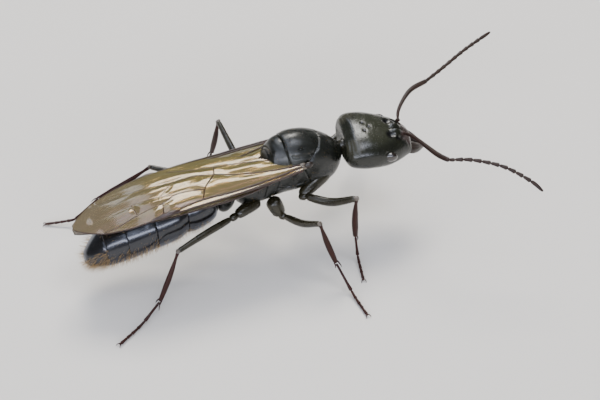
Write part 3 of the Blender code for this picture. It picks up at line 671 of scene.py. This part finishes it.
def makeHead():
    h = headShape
    bm = loftBody(h["form"], h["places"], h["count"], h["squareness"])
    for rows in h["spots"]:
        swell(bm, rows)
    for width, depth, line in h["grooves"]:
        score(bm, [line], width, depth)
    rim = ovalLine(h["eye"], (h["eyeSize"][0] + h["eyeRim"], h["eyeSize"][2] + h["eyeRim"]))
    score(bm, [rim], *h["eyeGroove"])
    score(bm, [h["hindRim"]], *h["hindGroove"], sideView=True)
    swell(bm, [(x, y) + h["ocellusHollow"] for x, y in h["ocelli"].values() if y >= 0])
    roughen(bm, *h["unevenness"])
    finishPiece("headCapsule", bm, headCuticle, ("head",), place=headPlace)
    x, y, z = h["eye"]
    for side, sign in sides.items():
        bm = bmesh.new()
        addBall(bm, (x, sign * y, z), h["eyeSize"], 32, 48)
        finishPiece("eye" + side.title(), bm, lensCuticle, ("eye_" + side,), place=headPlace)
    for name, (x, y) in h["ocelli"].items():
        bm = bmesh.new()
        addBall(bm, (x, y, readTable(h["form"], x, 3) * h["ocellusLevel"]), [h["ocellusRadius"]] * 3, 18, 28)
        finishPiece("ocellus" + name, bm, lensCuticle, ("ocellus_" + name.lower(),),
                    place=headPlace)


jaws = {
    # x, y, z, half width, rise, fall, all for the left jaw
    "form": [(3.72, 0.46, -0.05, 0.37, 0.26, 0.24), (3.8, 0.45, -0.06, 0.39, 0.27, 0.25),
        (4.0, 0.42, -0.1, 0.37, 0.24, 0.24), (4.3, 0.32, -0.18, 0.28, 0.19, 0.19),
        (4.55, 0.2, -0.26, 0.16, 0.13, 0.13), (4.72, 0.11, -0.31, 0.06, 0.07, 0.07)],
    "places": [3.7] + steps(3.73, 4.68, 0.04) + [4.72], "count": 48, "squareness": 2.4,
    "groove": (0.05, 0.04), "grooveShare": 0.45,
    # Teeth along the cutting edge, the tip tooth longest: number, radius, length, x of the
    # first, way along the edge, size of the first and growth, degrees that they turn
    "teeth": 8, "toothSize": (0.055, 0.12), "toothStart": 4.02, "toothSpan": 0.62,
    "toothGrowth": (0.7, 0.6), "toothTurn": (90, -50), "toothSet": 0.05, "toothStagger": 0.02}


def makeJaws():
    j = jaws
    form = j["form"]
    radius, length = j["toothSize"]
    for side, sign in sides.items():
        bm = loftBody([(x, z, w, u, d, sign * y) for x, y, z, w, u, d in form], j["places"], j["count"],
                      j["squareness"], sideways=5)
        groove = [(x, sign * (y + w * j["grooveShare"]), z + u) for x, y, z, w, u, _ in form]
        score(bm, [groove], *j["groove"])
        for i in range(j["teeth"]):
            share = i / (j["teeth"] - 1)
            x = j["toothStart"] + j["toothSpan"] * share
            y = readTable(form, x, 1) - readTable(form, x, 3) + j["toothSet"]
            size = j["toothGrowth"][0] + j["toothGrowth"][1] * share
            tooth = bmesh.ops.create_cone(bm, cap_ends=True, segments=10, radius1=radius * size,
                                          radius2=0.008, depth=length * size)["verts"]
            angle = math.radians(j["toothTurn"][0] + j["toothTurn"][1] * share)
            turn = (Matrix.Translation((x, sign * y, readTable(form, x, 2) - j["toothStagger"] * (i % 2)))
                    @ Matrix.Rotation(-sign * angle, 4, "Z") @ Matrix.Rotation(math.radians(90), 4, "Y"))
            bmesh.ops.transform(bm, matrix=turn, verts=tooth)
        finishPiece("mandible" + side.title(), bm, duskyCuticle, ("mandible_" + side,),
                    place=headPlace)


mouthparts = {
    "lip": [(3.35, 0, -0.72), (3.85, 0, -0.62)], "lipRadii": [(0, 0.22), (0.5, 0.2), (1, 0.1)],
    # Points of a palp as x, further out, z and share of its reach back; then the two pairs,
    # folded below the head, as distance out, reach back and radius
    "palpPath": [(3.45, 0, -0.75, 0), (3.3, 0.06, -0.95, 0), (3.3, 0.05, -1.06, 0.6), (3.3, 0, -1.1, 1)],
    "palps": [(0.22, 0.55, 0.045), (0.4, 0.75, 0.05)], "palpTaper": [(0, 1.0), (0.5, 1.0), (1, 0.6)]}


def makeMouthparts():
    bm = bmesh.new()
    addTube(bm, mouthparts["lip"], mouthparts["lipRadii"], count=20)
    for sign in sides.values():
        for out, reach, radius in mouthparts["palps"]:
            path = [(x - reach * share, sign * (out + aside), z)
                    for x, aside, z, share in mouthparts["palpPath"]]
            addTube(bm, path, scaled(mouthparts["palpTaper"], radius), count=10)
    finishPiece("mouthparts", bm, duskyCuticle, place=headPlace)


makeHead()
makeJaws()
makeMouthparts()
print("head made")

# Feelers: the scape, then the pedicel and ten short joints

feelers = {
    # Bends of the scape and its elbow, then the points that the whip runs through
    "scapes": {"right": [(5.78, -1.9, 6.13), (6.12, -3.93, 6.41), (6.36, -4.8, 6.61)],
        "left": [(5.98, 0.33, 6.2), (6.66, 0.97, 6.43), (7.29, 1.34, 6.55), (8.25, 1.65, 6.53)]},
    "whips": {"right": [(7.52, -5.29, 6.6), (8.89, -6.13, 6.34), (9.97, -7.12, 5.8), (10.4, -7.7, 5.42)],
        "left": [(9.63, 2.45, 6.42), (11.52, 3.38, 6.52), (13.49, 4.17, 6.61)]},
    "scapeRadii": [(0, 0.13), (0.025, 0.15), (0.05, 0.075), (0.12, 0.085), (0.4, 0.11), (0.78, 0.14),
        (1.0, 0.125)],
    "joints": [0.055, 0.085, 0.092, 0.09, 0.089, 0.088, 0.087, 0.086, 0.085, 0.085, 0.158],
    "pedicel": [(0, 0.06076), (0.1, 0.0833), (0.45, 0.098), (0.82, 0.098), (1, 0.09204)],
    "joint": [(0, 0.06076), (0.1, 0.0833), (0.45, 0.098), (0.82, 0.118), (1, 0.09204)],
    "tipJoint": [(0, 0.06076), (0.15, 0.098), (0.55, 0.098), (0.85, 0.0735), (1, 0.0392)],
    "scapeEnd": 0.06, "whipStart": 0.04, "overlap": 0.015}


def makeFeelers():
    f = feelers
    x, y, z = headShape["socket"]
    last = len(f["joints"]) - 1
    for side, sign in sides.items():
        *bends, elbow = (Vector(point) for point in f["scapes"][side])
        end = elbow + (elbow - bends[-1]).normalized() * f["scapeEnd"]
        bm = bmesh.new()
        addTube(bm, [headPlace @ Vector((x, sign * y, z))] + bends + [end], f["scapeRadii"], count=20,
                spacing=0.05)
        finishPiece("scape" + side.title(), bm, feltedCuticle, ("scape_" + side,))
        bm = bmesh.new()
        route = Route([elbow] + f["whips"][side])
        start = f["whipStart"]
        whole = route.length - start
        for i, share in enumerate(f["joints"]):
            end = min(start + share * whole / sum(f["joints"]), route.length)
            radii = f["pedicel" if i == 0 else "tipJoint" if i == last else "joint"]
            addTube(bm, route, radii, start, end + f["overlap"], count=18, spacing=0.045)
            start = end
        finishPiece("funiculus" + side.title(), bm, feltedCuticle, ("funiculus_" + side,))


makeFeelers()
print("feelers made")

# Legs

legs = {
    # hip, trochanter, knee, ankle, end of the long foot joint, claw
    "fore_right": [(1.45, -0.7, 4.3), (-0.48, -1.42, 3.7), (1.76, -3.6, 4.57), (1.86, -3.41, 1.66),
        (1.94, -3.6, 0.42), (1.61, -5.05, 0.12)],
    "fore_left": [(1.45, 0.7, 4.3), (1.3, 1.75, 2.9), (4.1, 2.7, 3.8), (5.2, 3.9, 1.85), (5.6, 4.5, 0.42),
        (6.1, 6.0, 0.12)],
    "mid_right": [(-1.9, -0.8, 3.6), (-1.5, -1.2, 2.5), (-0.49, -4.03, 3.96), (0.2, -4.63, 1.43),
        (0.58, -5.76, 0.3), (0.69, -7.5, 0.12)],
    "mid_left": [(-1.75, 0.8, 3.65), (-2.3, 1.9, 3.2), (-2.68, 4.83, 4.8), (-2.93, 5.44, 2.17),
        (-3.35, 5.8, 0.5), (-4.7, 6.5, 0.12)],
    "hind_right": [(-2.5, -0.65, 3.5), (-4.05, -1.25, 3.45), (-7.7, -2.45, 3.3), (-9.05, -3.05, 0.75),
        (-10.1, -3.62, 0.28), (-11.7, -4.5, 0.12)],
    "hind_left": [(-2.5, 0.65, 3.5), (-4.0, 1.35, 3.4), (-7.04, 3.75, 3.85), (-9.85, 4.4, 2.05),
        (-11.1, 5.0, 0.5), (-12.6, 5.6, 0.12)]}
legBuild = {
    # Share of the way and radius
    "coxa": [(0, 0.28), (0.15, 0.37), (0.45, 0.39), (0.8, 0.33), (1.0, 0.24)],
    "trochanter": [(0, 0.14), (0.35, 0.2), (0.75, 0.19), (1.0, 0.15)],
    "femur": [(0, 0.15), (0.05, 0.2), (0.2, 0.24), (0.5, 0.24), (0.8, 0.2), (0.93, 0.185), (1.0, 0.2)],
    "kneeSkinAndHighlight": [(0, 0.15), (0.5, 0.17), (1, 0.12)],
    "tibia": [(0, 0.13), (0.05, 0.12), (0.12, 0.1), (0.4, 0.175), (0.7, 0.19), (0.95, 0.15), (1.0, 0.13)],
    "spur": [(0, 0.045), (0.6, 0.032), (1, 0.012)],
    "footJoint": [(0, 0.0624), (0.1, 0.0663), (0.7, 0.078), (0.94, 0.1), (1, 0.08)],
    "lastJoint": [(0, 0.0624), (0.1, 0.0663), (0.7, 0.078), (0.94, 0.09), (1, 0.072)],
    "claw": [(0, 0.035), (0.5, 0.028), (1, 0.01)], "pad": [(0, 0.05), (0.6, 0.055), (1, 0.045)],
    # From the foot's tip: ahead, aside and up
    "clawPath": [(-0.04, 0, 0), (0.1, 0.07, 0.03), (0.2, 0.12, 0), (0.24, 0.13, -0.07)],
    "padPath": [(-0.03, 0, 0), (0.1, 0, -0.02)],
    "coxaGirth": {"fore": 1.0, "mid": 1.08, "hind": 0.9}, "coxaRise": 0.03,
    "girth": {"fore": 1.0, "mid": 0.88, "hind": 0.84},
    # How far a part starts inside the one before it, and how far the knee skin, partly a painted highlight,
    # reaches on both sides of the knee
    "sunk": {"trochanter": 0.1, "femur": 0.08}, "skinReach": (0.1, 0.12),
    "femurFlat": 0.86, "tibiaFlat": 0.88, "tibiaBend": 0.05, "trochanterLength": 0.42,
    # How far each femur's middle rises above its chord, or sags below it
    "bow": {"fore_right": -0.32, "fore_left": 0.05, "mid_right": -0.23, "mid_left": 0.0, "hind_right": 0.05,
        "hind_left": 0.1},
    # Spurs at the ankle as side and length: one comb in front, a long and a short one behind
    "spurs": {"fore": [(1, 0.62)], "mid": [(1, 0.55), (-1, 0.32)], "hind": [(1, 0.55), (-1, 0.32)]},
    "spurRoot": (0.12, 0.1), "spurBow": 1.2,
    "longJoint": 0.98, "footShares": [0.16, 0.12, 0.1, 0.14],    # the long foot joint, and those after it
    "footStart": 0.03, "footLap": 0.02, "footDip": (0.35, 0.06)}


def upBy(height):
    return Vector((0, 0, height))


def addClaws(bm, tip, heading):
    b = legBuild
    across = heading.cross(upBy(1)).normalized()
    for sign, path, radii, count in ((1, b["clawPath"], b["claw"], 10), (-1, b["clawPath"], b["claw"], 10),
                                     (1, b["padPath"], b["pad"], 12)):
        points = [tip + heading * ahead + across * sign * aside + upBy(up) for ahead, aside, up in path]
        addTube(bm, points, radii, count=count, spacing=0.03)


def makeLeg(leg):
    b = legBuild
    hip, trochanter, knee, ankle, sole, claw = (Vector(p) for p in legs[leg])
    pair, side = leg.split("_")
    girth = b["girth"][pair]
    toKnee, toAnkle = (knee - trochanter).normalized(), (ankle - knee).normalized()
    outward = (knee - trochanter).cross(ankle - knee).normalized()
    joint = trochanter + toKnee * b["trochanterLength"]
    middle = (joint + knee) / 2 + upBy(b["bow"][leg])
    bend = outward.cross(toAnkle).normalized() * b["tibiaBend"]

    def finish(part, bm, material, solid=True):
        nodes = (f"{pair}_{part}_{side}",) if solid else ()
        finishPiece(f"{part}_{pair}{side.title()}", bm, material, nodes)

    above, below = b["skinReach"]
    # The last of these is the pale skin that shows where the knee bends, made pale enough to be the knee's
    # painted highlight too
    for part, path, radii, shape, material, solid in (
            ("coxa", [hip, (hip + trochanter) / 2 + upBy(b["coxaRise"]), trochanter],
             scaled(b["coxa"], b["coxaGirth"][pair]), {"count": 32, "spacing": 0.05}, limbCuticle, True),
            ("trochanter", [trochanter - toKnee * b["sunk"]["trochanter"], joint], b["trochanter"],
             {"count": 24, "spacing": 0.04}, limbCuticle, False),
            ("femur", [joint - toKnee * b["sunk"]["femur"], middle, knee], scaled(b["femur"], girth),
             {"count": 28, "flat": b["femurFlat"]}, limbCuticle, True),
            ("kneeSkinAndHighlight", [knee - (knee - middle).normalized() * above, knee, knee + toAnkle * below],
             scaled(b["kneeSkinAndHighlight"], girth), {"count": 18, "spacing": 0.04}, paleSkinAndKneeHighlight, False)):
        bm = bmesh.new()
        addTube(bm, path, radii, **shape)
        finish(part, bm, material, solid)

    bm = bmesh.new()
    addTube(bm, [knee + toAnkle * 0.03, (knee + ankle) / 2 + bend, ankle], scaled(b["tibia"], girth),
            count=24, flat=b["tibiaFlat"])
    back, aside = b["spurRoot"]
    for sign, length in b["spurs"][pair]:
        root = ankle - toAnkle * back + outward * sign * aside
        tip = root + toAnkle * length + outward * sign * aside - bend
        addTube(bm, [root, (root + tip) / 2 - bend * b["spurBow"], tip], b["spur"], count=10, spacing=0.05)
    finish("tibia", bm, russetCuticle)

    bm = bmesh.new()
    share, dip = b["footDip"]
    route = Route([ankle.lerp(sole, b["footStart"]), (ankle + sole) / 2, sole,
                   sole.lerp(claw, share) - upBy(dip), claw])
    ends = [(sole - ankle).length * b["longJoint"]]
    rest = route.length - ends[0]
    for share in b["footShares"]:
        ends.append(ends[-1] + share * rest / sum(b["footShares"]))
    for start, end in zip([0.0] + ends, ends):
        radii = b["lastJoint" if end == ends[-1] else "footJoint"]
        addTube(bm, route, radii, start, min(end + b["footLap"], route.length), spacing=0.05)
    finish("tarsus", bm, russetCuticle)

    bm = bmesh.new()
    addClaws(bm, route.at(route.length), route.heading(route.length - 0.05))
    finish("claws", bm, russetCuticle, False)


for leg in legs:
    makeLeg(leg)
print("legs made")

# Wings, folded flat over the back, the right pair on top

veins = {
    # Path as x and distance out, then the radius at both ends
    "radius": ([(-0.35, 1.45), (-2.0, 1.58), (-4.0, 1.62), (-5.9, 1.56), (-7.2, 1.66)], 0.075, 0.055),
    "median": ([(-0.4, 1.28), (-1.8, 1.15), (-3.7, 0.7), (-4.82, 0.25)], 0.06, 0.045),
    "basal": ([(-4.82, 0.25), (-5.2, 0.6), (-5.62, 1.02), (-5.88, 1.54)], 0.045, 0.045),
    "cubitalCross": ([(-4.82, 0.25), (-4.66, -0.28)], 0.04, 0.04),
    "anal": ([(-0.45, 1.05), (-1.3, 0.66), (-2.8, 0.12), (-4.66, -0.28), (-6.0, -0.62), (-7.0, -1.05)],
        0.05, 0.03),
    "sector": ([(-5.62, 1.02), (-6.5, 0.84), (-7.2, 0.8), (-7.9, 1.05), (-9.3, 1.15), (-10.4, 1.26),
        (-11.15, 1.22)], 0.042, 0.03),
    "sectorCross": ([(-7.9, 1.05), (-8.1, 1.7)], 0.038, 0.038),
    "media": ([(-7.2, 0.8), (-8.2, 0.55), (-9.6, 0.4), (-11.4, 0.2)], 0.036, 0.015),
    "mediaCross": ([(-9.3, 1.15), (-9.4, 0.42)], 0.03, 0.03),
    "cubitus": ([(-4.82, 0.25), (-5.8, 0.0), (-7.0, -0.1), (-8.6, -0.35), (-10.9, -0.8)], 0.042, 0.015),
    "discalCross": ([(-7.9, 0.62), (-7.0, -0.1)], 0.032, 0.032)}
hindVeins = {
    "hindRadius": ([(-1.4, 1.4), (-4.0, 1.66), (-7.0, 1.66), (-8.4, 1.6)], 0.05, 0.02),
    "hindMedian": ([(-1.5, 1.28), (-4.2, 1.22), (-6.4, 1.2), (-8.4, 1.15)], 0.045, 0.015),
    "hindCross": ([(-4.4, 1.22), (-4.7, 1.66)], 0.03, 0.03),
    "hindAnal": ([(-1.5, 1.18), (-3.2, 0.95), (-5.2, 0.78)], 0.035, 0.015)}
wings = {
    # Height of the fold along x, and how it falls away to the sides
    "level": [(-0.4, 5.8), (-1.5, 5.76), (-2.5, 5.72), (-4.0, 5.66), (-6.0, 5.62), (-8.0, 5.5),
        (-9.0, 5.34), (-10.0, 5.1), (-11.0, 4.84), (-12.0, 4.54), (-12.5, 4.36)],
    "arch": 0.1,
    # Leading and trailing edge as x and distance out from the middle line, where minus is
    # across it, then the veins and the film's grid
    "pairs": {
        "forewing": ([(-0.4, 1.66), (-3.0, 1.8), (-6.0, 1.86), (-9.0, 1.78), (-10.5, 1.52), (-11.6, 1.02),
            (-12.2, 0.5), (-12.45, 0.16)], [(-0.4, 1.1), (-1.1, 0.86), (-1.7, 0.5), (-2.2, 0.14),
            (-2.8, -0.3), (-4.5, -1.05), (-7.0, -1.3), (-9.5, -1.3), (-11.0, -1.0), (-12.0, -0.5),
            (-12.45, -0.14)], veins, (150, 44)),
        "hindwing": ([(-1.3, 1.5), (-4.0, 1.84), (-7.0, 1.86), (-8.6, 1.7), (-9.1, 1.52)], [(-1.3, 1.1),
            (-3.0, 0.8), (-4.5, 0.58), (-7.5, 0.6), (-8.6, 0.9), (-9.1, 1.28)], hindVeins, (90, 18))},
    "lift": {"forewing_right": 0.12, "hindwing_right": -0.1, "forewing_left": -0.2, "hindwing_left": -0.56},
    "film": 0.02, "edgeVein": (0.075, 0.024), "rearVein": (0.022, 0.018),
    "cellRise": 0.05, "cellReach": 0.24,    # how the film stands up between its veins
    "wave": 0.035, "wavePitch": (0.28, 3.2, 7),
    # Stigma, the thick dark patch of the front edge
    "stigma": [(-7.15, 1.74), (-7.6, 1.76), (-8.2, 1.76), (-8.75, 1.74)],
    "stigmaRadii": [(0, 0.03), (0.35, 0.13), (0.65, 0.12), (1, 0.03)]}


def veinSegments(paths):
    segments = []
    for path, _, _ in paths.values():
        line = smoothPath([(x, out, 0.0) for x, out in path], 6)
        segments += list(zip(line, line[1:]))
    return segments


def makeWing(pair, side, leading, trailing, paths, grid):
    w = wings
    name, sign, label = f"{pair}_{side}", sides[side], pair + side.title()
    lift = w["lift"][name]
    segments = veinSegments(paths)

    def onSheet(x, out):
        # The film sags to the veins and rises between them
        point = Vector((x, out, 0.0))
        nearest = min(distanceTo(point, a, b) for a, b in segments)
        rise = w["cellRise"] * (1 - math.exp(-(nearest / w["cellReach"]) ** 2))
        pitchX, pitchOut, pitchLift = w["wavePitch"]
        wave = w["wave"] * noise.noise(Vector((x * pitchX, out * pitchOut, lift * pitchLift)))
        y = sign * out
        return Vector((x, y, readTable(w["level"], x, 1) - w["arch"] * y * y + lift + rise + wave))

    bm = bmesh.new()
    bmesh.ops.create_grid(bm, x_segments=grid[0], y_segments=grid[1], size=0.5)
    root, tip = leading[0][0], leading[-1][0]
    for vert in bm.verts:
        u, v = vert.co.x + 0.5, vert.co.y + 0.5
        x = root + (tip - root) * math.sin(u * math.pi / 2)
        outer, inner = readTable(leading, x, 1), readTable(trailing, x, 1)
        vert.co = onSheet(x, outer + (inner - outer) * v)
    bmesh.ops.recalc_face_normals(bm, faces=bm.faces)
    bmesh.ops.solidify(bm, geom=bm.faces[:], thickness=w["film"])
    finishPiece(label + "Film", bm, wingFilm, (name,), sharp=60)

    bm = bmesh.new()
    for path, thick, thin in [*paths.values(), (leading, *w["edgeVein"]), (trailing, *w["rearVein"])]:
        line = smoothPath([(x, out, 0.0) for x, out in path], 5)
        addTube(bm, [onSheet(p.x, p.y) for p in line], [(0, thick), (1, thin)], count=8, spacing=0.12)
    if paths is veins:
        addTube(bm, [onSheet(x, out) for x, out in w["stigma"]], w["stigmaRadii"])
    finishPiece(label + "Veins", bm, veinCuticle)


for pair, row in wings["pairs"].items():
    for side in ("right", "left"):
        makeWing(pair, side, *row)

# Scale over the wing's root, and the pale lumps of the root itself: place and size
wingRoots = {"tegula": (duskyCuticle, [((0.02, 1.36, 5.66), (0.26, 0.14, 0.2))]), "wingRoot": (paleSkinAndKneeHighlight, [
    ((-0.22, 1.36, 5.58), (0.16, 0.12, 0.12)), ((-0.38, 1.42, 5.66), (0.18, 0.11, 0.1)),
    ((-0.3, 1.28, 5.74), (0.2, 0.12, 0.08)), ((-0.58, 1.36, 5.66), (0.2, 0.14, 0.09)),
    ((-1.05, 1.22, 5.5), (0.2, 0.12, 0.12))])}
neck = {"path": [(1.95, 0.0, 4.85), (2.35, 0.0, 5.1), (2.8, -0.08, 5.42)],
        "radii": [(0, 0.4), (0.5, 0.3), (1, 0.26)]}


def makeJoinery():
    for side, sign in sides.items():
        for name, (material, balls) in wingRoots.items():
            bm = bmesh.new()
            for (x, y, z), size in balls:
                addBall(bm, (x, sign * y, z), size, 16, 24)
            finishPiece(name + side.title(), bm, material)
    bm = bmesh.new()
    addTube(bm, neck["path"], neck["radii"], count=32, spacing=0.05)
    finishPiece("neck", bm, limbCuticle)


makeJoinery()
print("wings and neck made")

# Hairs: long gold bristles, each one bent cone

coats = {
    # Body and slot, then rows of number, x span, angles from the top, lengths, radius and lean
    "gasterHairs": (gaster, "gaster_cuticle", [
        (520, (-12.05, -10.9), (1.0, math.pi), (0.24, 0.5), 0.0085, 0.8),
        (760, (-11.0, -8.4), (1.45, math.pi), (0.18, 0.36), 0.0075, 0.45),
        (480, (-8.4, -5.2), (1.7, math.pi), (0.14, 0.28), 0.0075, 0.4),
        (260, (-11.2, -5.2), (0.0, 1.5), (0.08, 0.15), 0.006, 1.2)] + [
        (40, (seam - 0.02, seam + 0.08), (1.4, math.pi), (0.22, 0.34), 0.008, 0.7)
        for seam in gaster["seams"][2:5]]),
    "mesosomaHairs": (mesosoma, "black_cuticle", [(160, (-1.9, 2.0), (0.0, 1.2), (0.06, 0.14), 0.005, 0.6),
        (200, (-3.4, 2.0), (1.2, math.pi), (0.1, 0.2), 0.006, 0.6)])}
hair = {"sides": 4, "tip": 0.12, "cuts": 3, "bow": 4.0, "stray": 0.25, "sunk": 0.03}    # bow in radii


def skinPoint(form, x, angle):
    z, wide, rise, fall = (readTable(form, x, column) for column in range(1, 5))
    s, c = math.sin(angle), math.cos(angle)
    return Vector((x, wide * s, z + (rise if c > 0 else fall) * c))


def skinNormal(form, x, angle):
    a = skinPoint(form, x + 0.05, angle) - skinPoint(form, x - 0.05, angle)
    b = skinPoint(form, x, angle + 0.05) - skinPoint(form, x, angle - 0.05)
    normal = a.cross(b).normalized()
    middle = Vector((x, 0.0, readTable(form, x, 1)))
    return normal if normal.dot(skinPoint(form, x, angle) - middle) > 0 else -normal


def makeHairTemplate():
    bm = bmesh.new()
    bmesh.ops.create_cone(bm, cap_ends=True, segments=hair["sides"], radius1=1.0, radius2=hair["tip"],
                          depth=1.0)
    bmesh.ops.translate(bm, vec=(0, 0, 0.5), verts=bm.verts)
    flanks = [edge for edge in bm.edges if abs(edge.verts[0].co.z - edge.verts[1].co.z) > 0.5]
    bmesh.ops.subdivide_edges(bm, edges=flanks, cuts=hair["cuts"])
    for vert in bm.verts:
        vert.co.x += hair["bow"] * vert.co.z ** 2
    mesh = bpy.data.meshes.new("hairTemplate")
    bm.to_mesh(mesh)
    bm.free()
    return mesh


def makeCoat(name, hairs, template):
    # hairs: root, direction, length, radius, then u and v on an unwrap of the skin
    bm = bmesh.new()
    for root, direction, length, radius, _, _ in hairs:
        copy = template.copy()
        turn = direction.to_track_quat("Z", "X").to_matrix().to_4x4()
        spin = Matrix.Rotation(dice.uniform(0, math.tau), 4, "Z")
        size = Matrix.Diagonal((radius, radius, length, 1.0))
        copy.transform(Matrix.Translation(root) @ turn @ spin @ size)
        bm.from_mesh(copy)
        bpy.data.meshes.remove(copy)
    # Each face gets a small square of the unwrap, so that no face of it is flat
    layer = bm.loops.layers.uv.new("OFBake")
    for i, face in enumerate(bm.faces):
        corner = [0.002 + 0.993 * (value % 1.0) for value in hairs[i // len(template.polygons)][4:6]]
        for loop, square in zip(face.loops, ((0, 0), (1, 0), (1, 1), (0, 1))):
            loop[layer].uv = [low + 0.003 * step for low, step in zip(corner, square)]
    finishPiece(name, bm, goldenHair, sharp=80)


def skinHairs(form, count, span, angles, length, radius, lean):
    # Hairs sown over a body by x and by angle from the top, leaning backwards
    hairs = []
    stray = hair["stray"]
    for _ in range(count):
        x, angle = dice.uniform(*span), dice.uniform(*angles) * dice.choice((1, -1))
        root, normal = skinPoint(form, x, angle), skinNormal(form, x, angle)
        wander = Vector([dice.uniform(-stray, stray) for _ in range(3)])
        direction = (normal + Vector((-lean, 0, 0)) + wander).normalized()
        u = (x - form[-1][0]) / (form[0][0] - form[-1][0])
        hairs.append((root - normal * hair["sunk"], direction, dice.uniform(*length), radius, u,
                      angle / math.tau + 0.5))
    return hairs


def makeHairs():
    template = makeHairTemplate()
    for name, (body, slot, rows) in coats.items():
        makeCoat(name, [one for row in rows for one in skinHairs(body["form"], *row)], template)


makeHairs()
print("hairs made")

# Stage, light and camera

stage = {
    "floorSize": 1.2, "floorColour": "#d9d4cb", "floorRoughness": 0.9,
    "worldColour": "#e9edf2", "worldStrength": 0.22, "aim": (0.0, 0.0, 0.004),
    # Azimuth from +X towards +Y and elevation, both in degrees, distance, size, power, colour
    "lights": {
        "overheadSoftbox": (0.0, 88.0, 0.45, (0.5, 0.5), 0.35, "#f2f5ff"),
        "archStrip": (180.0, 80.0, 0.3, (1.0, 0.05), 0.7, "#dfe8ff"),
        "rearStrip": (-168.0, 45.0, 0.3, (0.6, 0.08), 0.35, "#dce7ff"),
        "frontStrip": (-113.0, 21.0, 0.3, (0.5, 0.035), 0.9, "#e9eeff"),
        "keySoftbox": (-55.0, 71.0, 0.3, (0.1, 0.1), 0.32, "#eef2ff"),
        "backSoftbox": (68.0, 57.0, 0.3, (0.14, 0.1), 0.95, "#fffcf6"),
    },
    "camera": {"place": (-0.02656, -0.06124, 0.06251), "turn": (48.0, 0.0, -23.0),
        "lens": 100.3, "sensor": 36.0, "clip": (0.002, 10.0)}}


def makeFloor():
    bm = bmesh.new()
    bmesh.ops.create_grid(bm, x_segments=1, y_segments=1, size=stage["floorSize"] / 2)
    mesh = bpy.data.meshes.new("floor")
    bm.to_mesh(mesh)
    bm.free()
    material, _, shader = newMaterial("paleCard")
    setSockets(shader, {"Base Color": linearColour(stage["floorColour"]),
                        "Roughness": stage["floorRoughness"]})
    mesh.materials.append(material)
    obj = addObject("floor", mesh)


def addLight(name, azimuth, elevation, distance, size, power, colour):
    light = bpy.data.lights.new(name, "AREA")
    light.shape = "RECTANGLE"
    light.size, light.size_y = size
    light.energy = power
    light.color = linearColour(colour)[:3]
    obj = addObject(name, light)
    a, e = math.radians(azimuth), math.radians(elevation)
    target = Vector(stage["aim"])
    away = Vector((math.cos(a) * math.cos(e), math.sin(a) * math.cos(e), math.sin(e)))
    obj.location = target + away * distance
    obj.rotation_euler = (target - obj.location).to_track_quat("-Z", "Y").to_euler()


def makeStage():
    makeFloor()
    world = bpy.data.worlds.new("studio")
    bpy.context.scene.world = world
    world.use_nodes = True
    setSockets(world.node_tree.nodes["Background"],
               {"Color": linearColour(stage["worldColour"]), "Strength": stage["worldStrength"]})
    for name, row in stage["lights"].items():
        addLight(name, *row)
    view = stage["camera"]
    camera = bpy.data.cameras.new("camera")
    camera.lens, camera.sensor_width = view["lens"], view["sensor"]
    camera.clip_start, camera.clip_end = view["clip"]
    obj = addObject("camera", camera)
    obj.location = view["place"]
    obj.rotation_euler = [math.radians(angle) for angle in view["turn"]]
    bpy.context.scene.camera = obj


makeStage()
print("stage made")
